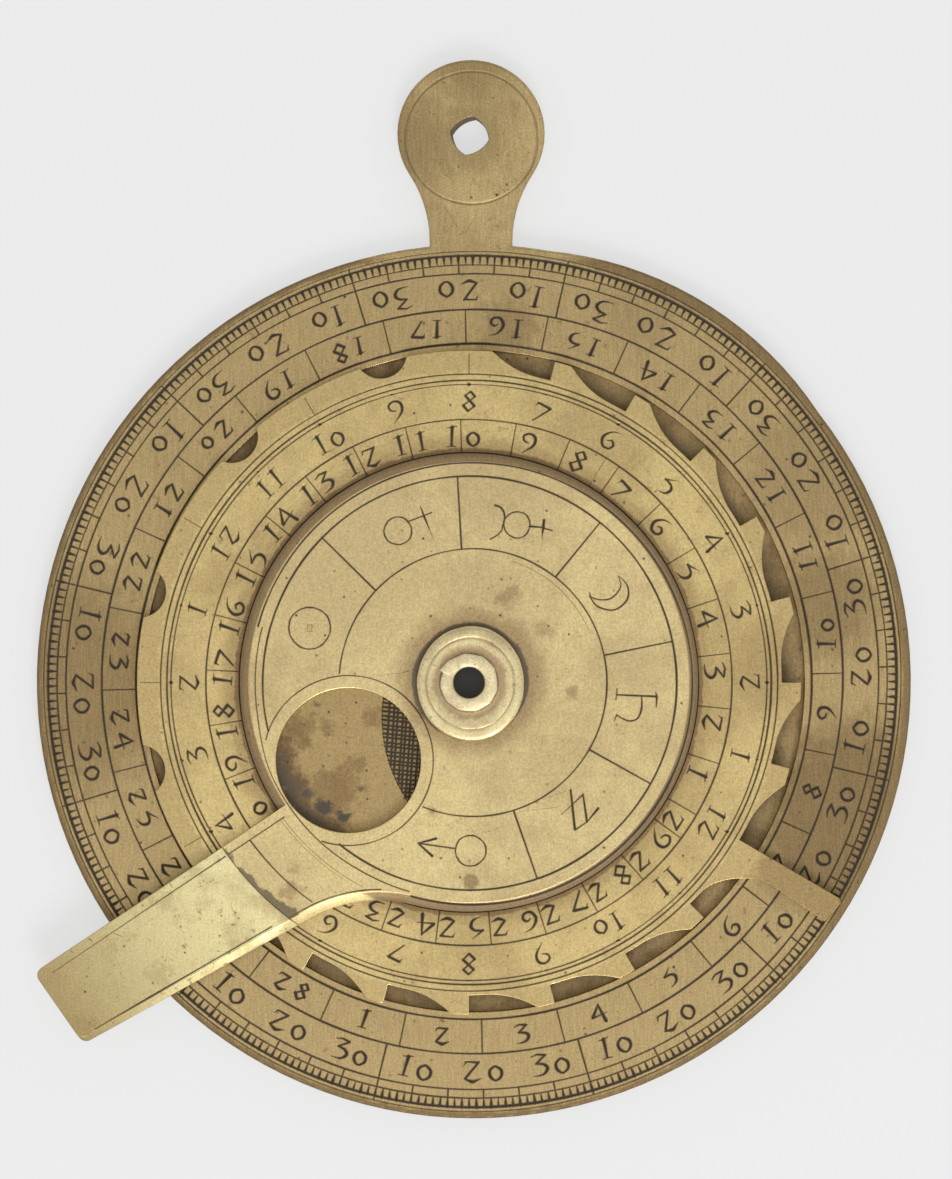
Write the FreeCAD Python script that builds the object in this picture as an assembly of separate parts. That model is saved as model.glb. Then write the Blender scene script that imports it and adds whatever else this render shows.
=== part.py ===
import FreeCAD, Part
import math
import os

# Nocturnal dial: a brass hand instrument that tells the hour at night from the stars and the moon.
# Millimetres. The instrument lies on its back: +Z out of the dial, +Y to the handle, origin on the
# pivot at the back face. Angles are degrees clockwise from the handle, seen from the dial side.

Vector = FreeCAD.Vector
z_axis = Vector(0, 0, 1)

# Fits
running_gap = 0.05          # between faces that turn on each other
bore_clearance = 0.05       # radial, disc on the sight tube
seat_clearance = 0.02       # radial, fixed piece on the sight tube
cutter_spare = 1.0          # how far a cutter stands out of what it cuts

# Round body: a limb plate soldered on a thinner back plate, filed a little off its pivot
limb_radius = 50.1
limb_thickness = 1.4
limb_centre = Vector(0.55, 0.1, 0)
limb_edge_round = 0.3
edge_margin = 0.5           # an edge this far from the recess and the hole is an outer one
same_place = 0.001          # heights closer than this count as one
rim_swell = 0.75            # where the file spared the edge
rim_swell_start = 10.0
rim_swell_end = 52.0
throat_radius = 37.9        # round recess under the teeth of the hour disc
back_thickness = 0.8
back_setback = 0.25         # the back plate's edge stands inside the limb's

# Handle
knob_radius = 8.45
knob_centre = Vector(0.23, 62.87, 0)
neck_width = 9.5
neck_blend_radius = 14.0
hole_centre = Vector(0.06, 62.64, 0)
hole_corner_reach = 2.25    # hand filed hole: a square on its corner with bulging sides
hole_side_reach = 1.98
hole_turn = 12.0

# Sight tube, a hollow rivet peened at both ends
sight_radius = 1.78
tube_radius = 2.6
peened_radius = 3.35
peened_height = 0.4
peened_dish = 0.05          # how far the mouth lies below the crown of the peened rim
sight_lip_round = 0.25
crown_margin = 0.1          # flat of the collar beyond the peened rim
countersink_radius = 3.1
countersink_depth = 0.6

# Boss washer on the recess floor
boss_radius = 11.0

# Hour disc, toothed so that the hours can be felt in the dark
hour_thickness = 1.2
tooth_tip_radius = 38.0
tooth_root_radius = 35.8
hour_step = 15.0
tooth_land = 3.0            # degrees of full radius after each radial face
flank_end = 12.5            # degrees after the face where the flank meets the root
flank_hollow = 0.36         # height, as a share of the tooth, of the point that draws the flank in
flank_drop = 0.3            # how far along the flank that point is
flank_settle = 0.58         # how far along the flank it is drawn on to the root circle
first_tooth = 15.0
last_tooth = 225.0
first_valley_start = 4.0
notch_angles = (255.0, 285.5, 316.0, 345.0)
notch_width = 5.5
notch_depth = 1.9

# Long tooth of the hour disc, the index that is set to the date
index_angle = 120.2
index_reach = 49.5
index_tip_width = 3.15
index_nose = 0.45           # corner taken off the tip at the fiducial edge
index_waist_width = 2.65
index_waist_radius = 41.5   # from here in, the trailing edge flares to the root
index_flare_pull = 1.9      # how far the flare keeps the trailing edge's direction
index_flare_end = 132.5
index_flare_spread = 4.5    # degrees over which it settles on the root circle

# Moon disc with its round window
moon_thickness = 1.2
moon_radius = 26.2
moon_bevel_width = 1.1
moon_bevel_height = 0.6     # also sets the half lap of the arm: the stub's tongue ends at its foot
window_radius = 8.28
window_distance = 16.4
window_angle = 237.2

# Index arm: a stub of the moon disc and a blade soldered on it with a half lap
arm_angle = 236.3           # direction of the fiducial edge, which aims at the pivot
arm_reach = 59.75
arm_root_width = 12.2
arm_root_distance = 32.0    # where the root width is measured
arm_tip_width = 9.9
arm_tip_skew = 0.2
arm_corner_round = 1.0
arm_blend_radius = 16.0
arm_tip_bevel = 0.6
seam_radius = 33.9
lap_length = 3.0
blade_proud = 0.15          # the blade stands this much above the stub

# Spring collar
collar_radius = 6.3
collar_edge = 0.35
collar_height = 0.9
collar_hollow = 0.2         # height of the hollow under the dome
collar_tread = 1.0          # width of the rim that bears on the moon disc

# Heights of the stack
limb_bottom = back_thickness
limb_top = limb_bottom + limb_thickness
hour_bottom = limb_top + running_gap
hour_top = hour_bottom + hour_thickness
moon_bottom = hour_top + running_gap
moon_top = moon_bottom + moon_thickness
collar_bottom = moon_top + running_gap
collar_top = collar_bottom + collar_height
tube_top = collar_top + peened_height
disc_bore_radius = tube_radius + bore_clearance
seat_bore_radius = tube_radius + seat_clearance
lap_end = seam_radius + lap_length
lap_top = moon_top - moon_bevel_height


def at_height(point, z):
    return Vector(point.x, point.y, z)


def polar(radius, clockwise, centre=Vector(0, 0, 0)):
    turn = math.radians(clockwise)
    return centre + Vector(radius * math.sin(turn), radius * math.cos(turn), 0)


def line(start, end):
    return Part.LineSegment(start, end).toShape()


def arc(start, middle, end):
    return Part.Arc(start, middle, end).toShape()


def bezier(poles):
    curve = Part.BezierCurve()
    curve.setPoles(poles)
    return curve.toShape()


def round_arc(radius, start, end, centre=Vector(0, 0, 0)):
    """Arc of a circle from one clockwise angle to another."""
    middle = (start + end) / 2
    return arc(polar(radius, start, centre), polar(radius, middle, centre), polar(radius, end, centre))


def arc_about(centre, start, end):
    """Shorter arc between two points at the same distance from centre."""
    middle = (start + end) / 2 - centre
    middle.normalize()
    return arc(start, centre + middle * (start - centre).Length, end)


def plate(edges, bottom, top):
    """Flat plate whose outline is drawn at z = 0."""
    wire = Part.Wire(Part.__sortEdges__(edges))
    solid = Part.Face(wire).extrude(Vector(0, 0, top - bottom))
    solid.translate(Vector(0, 0, bottom))
    return solid


def cylinder(radius, bottom, top, centre=Vector(0, 0, 0)):
    return Part.makeCylinder(radius, top - bottom, at_height(centre, bottom), z_axis)


def revolved(edges):
    wire = Part.Wire(Part.__sortEdges__(edges))
    return Part.Face(wire).revolve(Vector(0, 0, 0), z_axis, 360)


def rim_point(clockwise):
    return polar(limb_radius, clockwise, limb_centre)


def limb_disc():
    swell_middle = (rim_swell_start + rim_swell_end) / 2
    swell = arc(
        rim_point(rim_swell_start),
        polar(limb_radius + rim_swell, swell_middle, limb_centre),
        rim_point(rim_swell_end),
    )
    far_side = round_arc(limb_radius, rim_swell_end, rim_swell_start + 360, limb_centre)
    return plate([swell, far_side], limb_bottom, limb_top)


def handle():
    """Knob and neck; the neck's foot runs into the round body."""
    half = neck_width / 2
    drop = math.sqrt((knob_radius + neck_blend_radius) ** 2 - (half + neck_blend_radius) ** 2)
    foot = limb_centre.y + math.sqrt(limb_radius ** 2 - neck_width ** 2) - limb_edge_round
    edges = []
    corners = []
    shoulders = []
    for side in (-1, 1):
        centre = knob_centre + Vector(side * (half + neck_blend_radius), -drop, 0)
        waist = knob_centre + Vector(side * half, -drop, 0)
        shoulder = knob_centre + (centre - knob_centre) * (knob_radius / (knob_radius + neck_blend_radius))
        corner = Vector(waist.x, foot, 0)
        edges += [arc_about(centre, shoulder, waist), line(waist, corner)]
        corners.append(corner)
        shoulders.append(shoulder)
    edges.append(arc(shoulders[0], knob_centre + Vector(0, knob_radius, 0), shoulders[1]))
    edges.append(line(*corners))
    return plate(edges, limb_bottom, limb_top)


def suspension_hole():
    edges = []
    for quarter in range(4):
        start = hole_turn + 90 * quarter
        edges.append(arc(
            polar(hole_corner_reach, start, hole_centre),
            polar(hole_side_reach, start + 45, hole_centre),
            polar(hole_corner_reach, start + 90, hole_centre),
        ))
    return plate(edges, limb_bottom - cutter_spare, limb_top + cutter_spare)


def is_outer_top_edge(edge):
    level = edge.BoundBox.ZLength < same_place and abs(edge.BoundBox.ZMin - limb_top) < same_place
    middle = edge.valueAt((edge.FirstParameter + edge.LastParameter) / 2)
    off_hole = (middle - at_height(hole_centre, limb_top)).Length > hole_corner_reach + edge_margin
    off_throat = (middle - at_height(limb_centre, limb_top)).Length > throat_radius + edge_margin
    return level and off_hole and off_throat


def make_limb_plate():
    solid = limb_disc().fuse(handle()).removeSplitter()
    throat = cylinder(throat_radius, limb_bottom - cutter_spare, limb_top + cutter_spare, limb_centre)
    solid = solid.cut(throat).cut(suspension_hole())
    return solid.makeFillet(limb_edge_round, [edge for edge in solid.Edges if is_outer_top_edge(edge)])


def make_back_plate():
    disc = cylinder(limb_radius - back_setback, 0, back_thickness, limb_centre)
    bore = cylinder(seat_bore_radius, -cutter_spare, back_thickness + cutter_spare)
    mouth = Part.makeCone(
        countersink_radius + seat_clearance, seat_bore_radius, countersink_depth, Vector(0, 0, 0), z_axis
    )
    return disc.cut(bore).cut(mouth)


def make_boss_washer():
    disc = cylinder(boss_radius, limb_bottom, limb_top)
    return disc.cut(cylinder(seat_bore_radius, limb_bottom - cutter_spare, limb_top + cutter_spare))


def flank(face_angle):
    """Curve from the end of a tooth's land down to the root, where it runs out along the root circle."""
    start = face_angle + tooth_land
    end = face_angle + flank_end
    span = end - start
    middle_radius = tooth_root_radius + flank_hollow * (tooth_tip_radius - tooth_root_radius)
    return bezier([
        polar(tooth_tip_radius, start),
        polar(middle_radius, start + flank_drop * span),
        polar(tooth_root_radius, start + flank_settle * span),
        polar(tooth_root_radius, end),
    ])


def radial_face(angle):
    return line(polar(tooth_root_radius, angle), polar(tooth_tip_radius, angle))


def hour_tooth(angle, valley_end):
    """Radial face, land, flank and the root as far as the next face."""
    return [
        radial_face(angle),
        round_arc(tooth_tip_radius, angle, angle + tooth_land),
        flank(angle),
        round_arc(tooth_root_radius, angle + flank_end, valley_end),
    ]


def beside_index(radius, width):
    """Point at a radius, the given distance from the line of the index tooth's fiducial edge."""
    return polar(radius, index_angle + math.degrees(math.asin(width / radius)))


def index_tooth(valley_end):
    """Long pointed tooth: straight radial fiducial edge, blunt tip, trailing edge flaring to the root."""
    nose = polar(index_reach - index_nose, index_angle)
    tip = beside_index(index_reach, index_nose)
    heel = beside_index(index_reach - index_nose, index_tip_width)
    waist = beside_index(index_waist_radius, index_waist_width)
    along = waist - heel
    along.normalize()
    flare = [
        waist,
        waist + along * index_flare_pull,
        polar(tooth_root_radius, index_flare_end - index_flare_spread),
        polar(tooth_root_radius, index_flare_end),
    ]
    return [
        line(polar(tooth_root_radius, index_angle), nose),
        line(nose, tip),
        line(tip, heel),
        line(heel, waist),
        bezier(flare),
        round_arc(tooth_root_radius, index_flare_end, valley_end),
    ]


def smooth_rim():
    """Radial face of the last tooth, then the smooth rim round to the first valley."""
    start = last_tooth
    end = first_valley_start + 360
    return [
        radial_face(start),
        round_arc(tooth_tip_radius, start, end),
        flank(end - tooth_land),
        round_arc(tooth_root_radius, end - tooth_land + flank_end, first_tooth + 360),
    ]


def rim_notch(angle):
    """Half round cutter for one notch of the smooth rim."""
    half = notch_width / 2
    chord_drop = tooth_tip_radius - math.sqrt(tooth_tip_radius ** 2 - half ** 2)
    depth = notch_depth - chord_drop
    radius = (half ** 2 + depth ** 2) / (2 * depth)
    centre = polar(tooth_tip_radius - notch_depth + radius, angle)
    return cylinder(radius, hour_bottom - cutter_spare, hour_top + cutter_spare, centre)


def make_hour_disc():
    edges = []
    count = round((last_tooth - first_tooth) / hour_step)
    for number in range(count):
        angle = first_tooth + number * hour_step
        next_face = angle + hour_step
        if abs(angle - index_angle) < hour_step / 2:
            edges += index_tooth(next_face)
        elif abs(next_face - index_angle) < hour_step / 2:
            edges += hour_tooth(angle, index_angle)
        else:
            edges += hour_tooth(angle, next_face)
    edges += smooth_rim()
    disc = plate(edges, hour_bottom, hour_top)
    for angle in notch_angles:
        disc = disc.cut(rim_notch(angle))
    return disc.cut(cylinder(disc_bore_radius, hour_bottom - cutter_spare, hour_top + cutter_spare))


def arm_point(along, across):
    """Point of the arm: along the fiducial edge from the pivot, and across from it."""
    return polar(along, arm_angle) + polar(across, arm_angle - 90)


def arm_slope():
    return (arm_root_width - arm_tip_width) / (arm_reach - arm_root_distance)


def trailing_edge(along, inset):
    """Distance from the fiducial edge to the trailing edge, or to its bevel's upper line."""
    return arm_root_width + (arm_root_distance - along) * arm_slope() - inset


def trailing_crossing(radius, inset):
    """Where the trailing edge crosses a circle about the pivot."""
    slope = arm_slope()
    start = trailing_edge(0, inset)
    square = 1 + slope ** 2
    along = (start * slope + math.sqrt(square * radius ** 2 - start ** 2)) / square
    return arm_point(along, trailing_edge(along, inset))


def blend_points(rim_radius, inset):
    """Centre, rim end and arm end of the hollow blend between the disc's rim and the trailing edge."""
    radius = arm_blend_radius + inset
    tilt = math.atan(arm_slope())
    reach = rim_radius + radius
    offset = trailing_edge(0, inset) * math.cos(tilt) + radius
    along = math.sqrt(reach ** 2 - offset ** 2)
    centre = arm_point(
        along * math.cos(tilt) + offset * math.sin(tilt),
        offset * math.cos(tilt) - along * math.sin(tilt),
    )
    rim_end = centre * (rim_radius / reach)
    arm_end = centre - arm_point(math.sin(tilt), math.cos(tilt)) * radius
    return centre, rim_end, arm_end


def moon_outline(inset, stub_end):
    """Disc and stub in one outline; the bevel's upper line is the same outline with an inset."""
    rim_radius = moon_radius - inset
    centre, rim_end, arm_end = blend_points(rim_radius, inset)
    rim_stop = math.degrees(math.atan2(rim_end.x, rim_end.y)) % 360
    return [
        round_arc(rim_radius, arm_angle, rim_stop + 360),
        arc_about(centre, rim_end, arm_end),
        line(arm_end, trailing_crossing(stub_end, inset)),
        seam_arc(stub_end, inset),
        line(arm_point(stub_end, 0), arm_point(rim_radius, 0)),
    ]


def wire_at(edges, z):
    wire = Part.Wire(Part.__sortEdges__(edges))
    wire.translate(Vector(0, 0, z))
    return wire


def bevelled(lower_edges, bottom, upper_edges, top):
    """Solid that runs straight from one outline to the like outline above it."""
    return Part.makeLoft([wire_at(lower_edges, bottom), wire_at(upper_edges, top)], True, True)


def make_moon_disc():
    """Disc with its stub: full thickness up to the seam, half of it in the tongue beyond."""
    past_seam = seam_radius + cutter_spare
    bevel_line = moon_outline(moon_bevel_width, past_seam)
    bevel = bevelled(moon_outline(0, past_seam), lap_top, bevel_line, moon_top)
    bevel = bevel.common(cylinder(seam_radius, lap_top - cutter_spare, moon_top + cutter_spare))
    solid = plate(moon_outline(0, lap_end), moon_bottom, lap_top).fuse(bevel)
    window_centre = polar(window_distance, window_angle)
    window = cylinder(window_radius, moon_bottom - cutter_spare, moon_top + cutter_spare, window_centre)
    bore = cylinder(disc_bore_radius, moon_bottom - cutter_spare, moon_top + cutter_spare)
    return solid.cut(window).cut(bore).removeSplitter()


def seam_arc(radius, inset):
    """Arc across the arm from its fiducial edge to its trailing edge, about the pivot."""
    return arc_about(Vector(0, 0, 0), arm_point(radius, 0), trailing_crossing(radius, inset))


def rounded_corner(before, corner, after, radius):
    """Ends and middle of a fillet at a corner of the blade's outline."""
    first = (before - corner).normalize()
    second = (after - corner).normalize()
    half_angle = first.getAngle(second) / 2
    reach = radius / math.tan(half_angle)
    bisector = (first + second).normalize()
    middle = corner + bisector * (radius / math.sin(half_angle) - radius)
    return corner + first * reach, middle, corner + second * reach


def blade_outline(start_radius, root_inset, tip_inset):
    """Blade from the seam to its squared tip."""
    near_fiducial = arm_point(start_radius, 0)
    near_trailing = trailing_crossing(start_radius, root_inset)
    tip = arm_point(arm_reach, 0)
    tip_width = trailing_edge(arm_reach - arm_tip_skew, 0)
    heel_across = tip_width - tip_inset
    heel = arm_point(arm_reach - arm_tip_skew * heel_across / tip_width, heel_across)
    a, b, c = rounded_corner(near_fiducial, tip, heel, arm_corner_round)
    d, e, f = rounded_corner(tip, heel, near_trailing, arm_corner_round)
    return [
        line(near_fiducial, a),
        arc(a, b, c),
        line(c, d),
        arc(d, e, f),
        line(f, near_trailing),
        seam_arc(start_radius, root_inset),
    ]


def make_index_blade():
    """Blade with its half of the lap: it overhangs the stub's tongue as far as the seam."""
    blade_top = moon_top + blade_proud
    shoulder = blade_top - moon_bevel_height
    before_seam = seam_radius - cutter_spare
    lower = plate(blade_outline(lap_end, 0, 0), moon_bottom, lap_top)
    upper = plate(blade_outline(seam_radius, 0, 0), lap_top, shoulder)
    bevel_line = blade_outline(before_seam, moon_bevel_width, arm_tip_bevel)
    bevel = bevelled(blade_outline(before_seam, 0, 0), shoulder, bevel_line, blade_top)
    bevel = bevel.cut(cylinder(seam_radius, shoulder - cutter_spare, blade_top + cutter_spare))
    return lower.fuse(upper).fuse(bevel).removeSplitter()


def make_spring_collar():
    """Domed washer, hollow underneath, that bears on the moon disc near its rim."""
    seat = seat_bore_radius
    crown = peened_radius + crown_margin
    edge_foot = Vector(collar_radius, 0, collar_bottom)
    edge_head = Vector(collar_radius, 0, collar_bottom + collar_edge)
    crown_edge = Vector(crown, 0, collar_top)
    rise = collar_height - collar_edge
    dome_radius = ((collar_radius - crown) ** 2 + rise ** 2) / (2 * rise)
    dome = arc_about(crown_edge - Vector(0, 0, dome_radius), edge_head, crown_edge)
    bore_head = Vector(seat, 0, collar_top)
    bore_foot = Vector(seat, 0, collar_bottom + collar_hollow)
    tread = Vector(collar_radius - collar_tread, 0, collar_bottom)
    return revolved([
        line(edge_foot, edge_head),
        dome,
        line(crown_edge, bore_head),
        line(bore_head, bore_foot),
        line(bore_foot, tread),
        line(tread, edge_foot),
    ])


def make_sight_tube():
    """Hollow rivet: flared into the back plate, its front end peened over the collar."""
    lip = sight_lip_round
    inner_foot = Vector(sight_radius, 0, 0)
    flare_edge = Vector(countersink_radius, 0, 0)
    flare_neck = Vector(tube_radius, 0, countersink_depth)
    shank_head = Vector(tube_radius, 0, collar_top)
    peened_edge = Vector(peened_radius, 0, collar_top)
    peened_side = Vector(peened_radius, 0, collar_top + peened_height / 2)
    crown = Vector((sight_radius + peened_radius) / 2, 0, tube_top)
    mouth = tube_top - peened_dish
    lip_head = Vector(sight_radius + lip, 0, mouth)
    lip_foot = Vector(sight_radius, 0, mouth - lip)
    lip_centre = Vector(sight_radius + lip, 0, mouth - lip)
    return revolved([
        line(inner_foot, flare_edge),
        line(flare_edge, flare_neck),
        line(flare_neck, shank_head),
        line(shank_head, peened_edge),
        line(peened_edge, peened_side),
        arc(peened_side, crown, lip_head),
        arc_about(lip_centre, lip_head, lip_foot),
        line(lip_foot, inner_foot),
    ])


def main():
    os.makedirs("parts", exist_ok=True)
    pieces = {
        "back_plate": make_back_plate(),
        "limb_plate": make_limb_plate(),
        "boss_washer": make_boss_washer(),
        "hour_disc": make_hour_disc(),
        "moon_disc": make_moon_disc(),
        "index_blade": make_index_blade(),
        "spring_collar": make_spring_collar(),
        "sight_tube": make_sight_tube(),
    }
    for name, shape in pieces.items():
        solids = shape.Solids
        box = shape.BoundBox
        print(
            f"{name}: {len(solids)} solid, valid {shape.isValid()}, volume {shape.Volume:.1f}, "
            f"z {box.ZMin:.2f} to {box.ZMax:.2f}"
        )
        solids[0].exportStep(f"parts/{name}.step")


main()
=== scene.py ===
import logging
import math
import random
from dataclasses import dataclass, field, replace
from enum import Enum
from functools import partial
from typing import Callable, Optional, Sequence

import bmesh
import bpy
import numpy as np
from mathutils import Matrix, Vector
from mathutils.bvhtree import BVHTree
from mathutils.geometry import delaunay_2d_cdt


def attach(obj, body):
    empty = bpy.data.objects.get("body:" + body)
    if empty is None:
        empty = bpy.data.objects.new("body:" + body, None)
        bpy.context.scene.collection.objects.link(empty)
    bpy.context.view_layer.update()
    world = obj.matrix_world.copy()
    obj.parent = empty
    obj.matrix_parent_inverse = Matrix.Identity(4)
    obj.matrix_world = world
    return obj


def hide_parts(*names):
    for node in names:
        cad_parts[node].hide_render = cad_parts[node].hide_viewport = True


# Looks of the nocturnal dial: a brass hand instrument, engraved by hand and darkened with age.
# Engraving is laid out in millimetres on the dial's plane, x to the right and y to the handle.
# Angles are degrees clockwise from the handle, seen from the dial side.

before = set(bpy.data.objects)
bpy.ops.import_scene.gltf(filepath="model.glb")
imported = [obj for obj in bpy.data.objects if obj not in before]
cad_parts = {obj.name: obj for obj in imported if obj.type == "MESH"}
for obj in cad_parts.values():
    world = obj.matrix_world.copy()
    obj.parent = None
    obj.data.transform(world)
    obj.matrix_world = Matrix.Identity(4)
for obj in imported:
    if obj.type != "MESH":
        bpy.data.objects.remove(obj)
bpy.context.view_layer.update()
log = logging.getLogger("nocturnal")

Point = tuple[float, float]
MM = 0.001
DEPTH_ATTRIBUTE = "cut_depth"

# Points closer than these are one: in a solid's own mesh, at the seam of an engraved sheet, in a sliver
MERGE_MM = 0.002
SEAM_MM = 0.0008
SLIVER_MM = 0.0002

# Faces that meet at less than the first are one flat; edges over the second are eased, over the third kept
COPLANAR_DEGREES = 0.4
SHARP_DEGREES = 40.0
CREASE_DEGREES = 8.0

# A face whose normal rises to this is part of the flat top
FLAT_NORMAL = 0.99995


def polar(radius: float, clockwise: float, centre: Point = (0.0, 0.0)) -> Point:
    """Point of the dial's plane.

    Args:
        radius: distance from the centre, in mm.
        clockwise: degrees clockwise from the handle.
        centre: what the angle is taken about.

    Returns:
        The point, in mm.
    """
    turn = math.radians(clockwise)
    return centre[0] + radius * math.sin(turn), centre[1] + radius * math.cos(turn)


def linear(colour: str) -> tuple[float, float, float, float]:
    """Linear colour of an sRGB hex value.

    Args:
        colour: six hex digits after their sign.

    Returns:
        Red, green, blue and alpha.
    """
    channels = [int(colour[i:i + 2], 16) / 255 for i in (1, 3, 5)]
    bent = [c / 12.92 if c <= 0.04045 else ((c + 0.055) / 1.055) ** 2.4 for c in channels]
    return bent[0], bent[1], bent[2], 1.0


def smoothstep(low: float, high: float, value: float) -> float:
    """0 below low, 1 above high, and a smooth rise between."""
    share = min(max((value - low) / (high - low), 0.0), 1.0)
    return share * share * (3 - 2 * share)


def waver(seed: float, place: float) -> float:
    """Smooth unsteadiness of a hand, between about -1 and 1, along a place in radians or mm.

    Args:
        seed: which hand it is.
        place: where on the line.

    Returns:
        The strength of the sway there.
    """
    return (
        math.sin(3.0 * place + 1.7 * seed)
        + 0.6 * math.sin(7.3 * place + 3.1 * seed)
        + 0.4 * math.sin(16.9 * place + 5.3 * seed)
    ) / 2


# Layout of the arm, shared by the disc's stub and the blade

@dataclass(frozen=True)
class Arm:
    """Index arm: its fiducial edge aims at the pivot, its trailing edge converges towards the tip."""

    angle: float = 236.3
    root_width: float = 12.2
    root_distance: float = 32.0
    tip_width: float = 9.9
    reach: float = 59.75
    seam: float = 33.9
    bevel: float = 1.1
    tip_bevel: float = 0.6

    def point(self, along: float, across: float) -> Point:
        """Point at a distance along the fiducial edge from the pivot, and across from it."""
        return polar(across, self.angle - 90, polar(along, self.angle))

    def width(self, along: float) -> float:
        """Width of the arm at a distance from the pivot."""
        slope = (self.root_width - self.tip_width) / (self.reach - self.root_distance)
        return self.root_width + (self.root_distance - along) * slope

    def bevel_line(self, along: float) -> float:
        """Distance across to the upper line of the trailing edge's bevel."""
        share = (along - self.seam) / (self.reach - self.seam)
        return self.width(along) - self.bevel - (self.tip_bevel - self.bevel) * share


ARM = Arm()


# Strokes of the graver

@dataclass(frozen=True)
class Cut:
    """One V groove: its centreline and, at each point, half its width, all in mm."""

    points: tuple[Point, ...]
    half_widths: tuple[float, ...]
    closed: bool = False
    steepness: float = 0.8


def straight(start: Point, end: Point, width: float, end_width: Optional[float] = None) -> Cut:
    """Straight groove, from one half width to another."""
    return Cut((start, end), (width, width if end_width is None else end_width))


def arc(
    radius: float,
    start: float,
    end: float,
    width: float,
    centre: Point = (0.0, 0.0),
    wander: Optional[Callable[[float], float]] = None,
    unsteady: float = 0.02,
    sag: float = 0.006,
) -> Cut:
    """Groove along an arc, with the small swellings that a hand leaves.

    Args:
        radius: of the arc, in mm.
        start: clockwise angle it starts at.
        end: clockwise angle it ends at; a whole turn closes it.
        width: half the groove's width.
        centre: of the arc.
        wander: change of the radius at a clockwise angle, in mm.
        unsteady: how far the line strays, in mm.
        sag: how far a chord may stand off the arc.

    Returns:
        The groove.
    """
    span = end - start
    step = 2 * math.degrees(math.acos(1 - sag / radius))
    count = max(round(abs(span) / step), 6)
    closed = abs(span) >= 360
    places = [start + span * i / count for i in range(count if closed else count + 1)]
    seed = radius + centre[0]
    points = []
    widths = []
    for place in places:
        turn = math.radians(place)
        reach = radius + unsteady * waver(seed, turn) + (wander(place) if wander else 0.0)
        points.append(polar(reach, place, centre))
        widths.append(width * (1 + 0.16 * waver(seed + 2, turn * 1.7)))
    return Cut(tuple(points), tuple(widths), closed)


def radial(inner: float, outer: float, angle: float, width: float, centre: Point = (0.0, 0.0)) -> Cut:
    """Straight groove along a radius."""
    return straight(polar(inner, angle, centre), polar(outer, angle, centre), width, width * 0.85)


def smooth_line(points: Sequence[tuple[float, float, float]], steps: int = 5) -> list[tuple[float, ...]]:
    """Smooth curve through points of x, y and width.

    Args:
        points: what the curve goes through.
        steps: points from one of those to the next.

    Returns:
        The points of the curve.
    """
    ends = [points[0], *points, points[-1]]
    out = []
    for a, b, c, d in zip(ends, ends[1:], ends[2:], ends[3:]):
        for i in range(steps):
            t = i / steps
            out.append(tuple(
                0.5 * (
                    2 * q + (r - p) * t + (2 * p - 5 * q + 4 * r - s) * t * t
                    + (3 * q - p - 3 * r + s) * t ** 3
                )
                for p, q, r, s in zip(a, b, c, d)
            ))
    out.append(points[-1])
    return out


# Figures in the hand of the engraver: each stroke is points of x, y and the pen's swelling, in units
# of the figure's height. A stroke whose first item is True is curved.

@dataclass(frozen=True)
class Figure:
    """One figure: the room it takes and its strokes."""

    advance: float
    strokes: tuple


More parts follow.
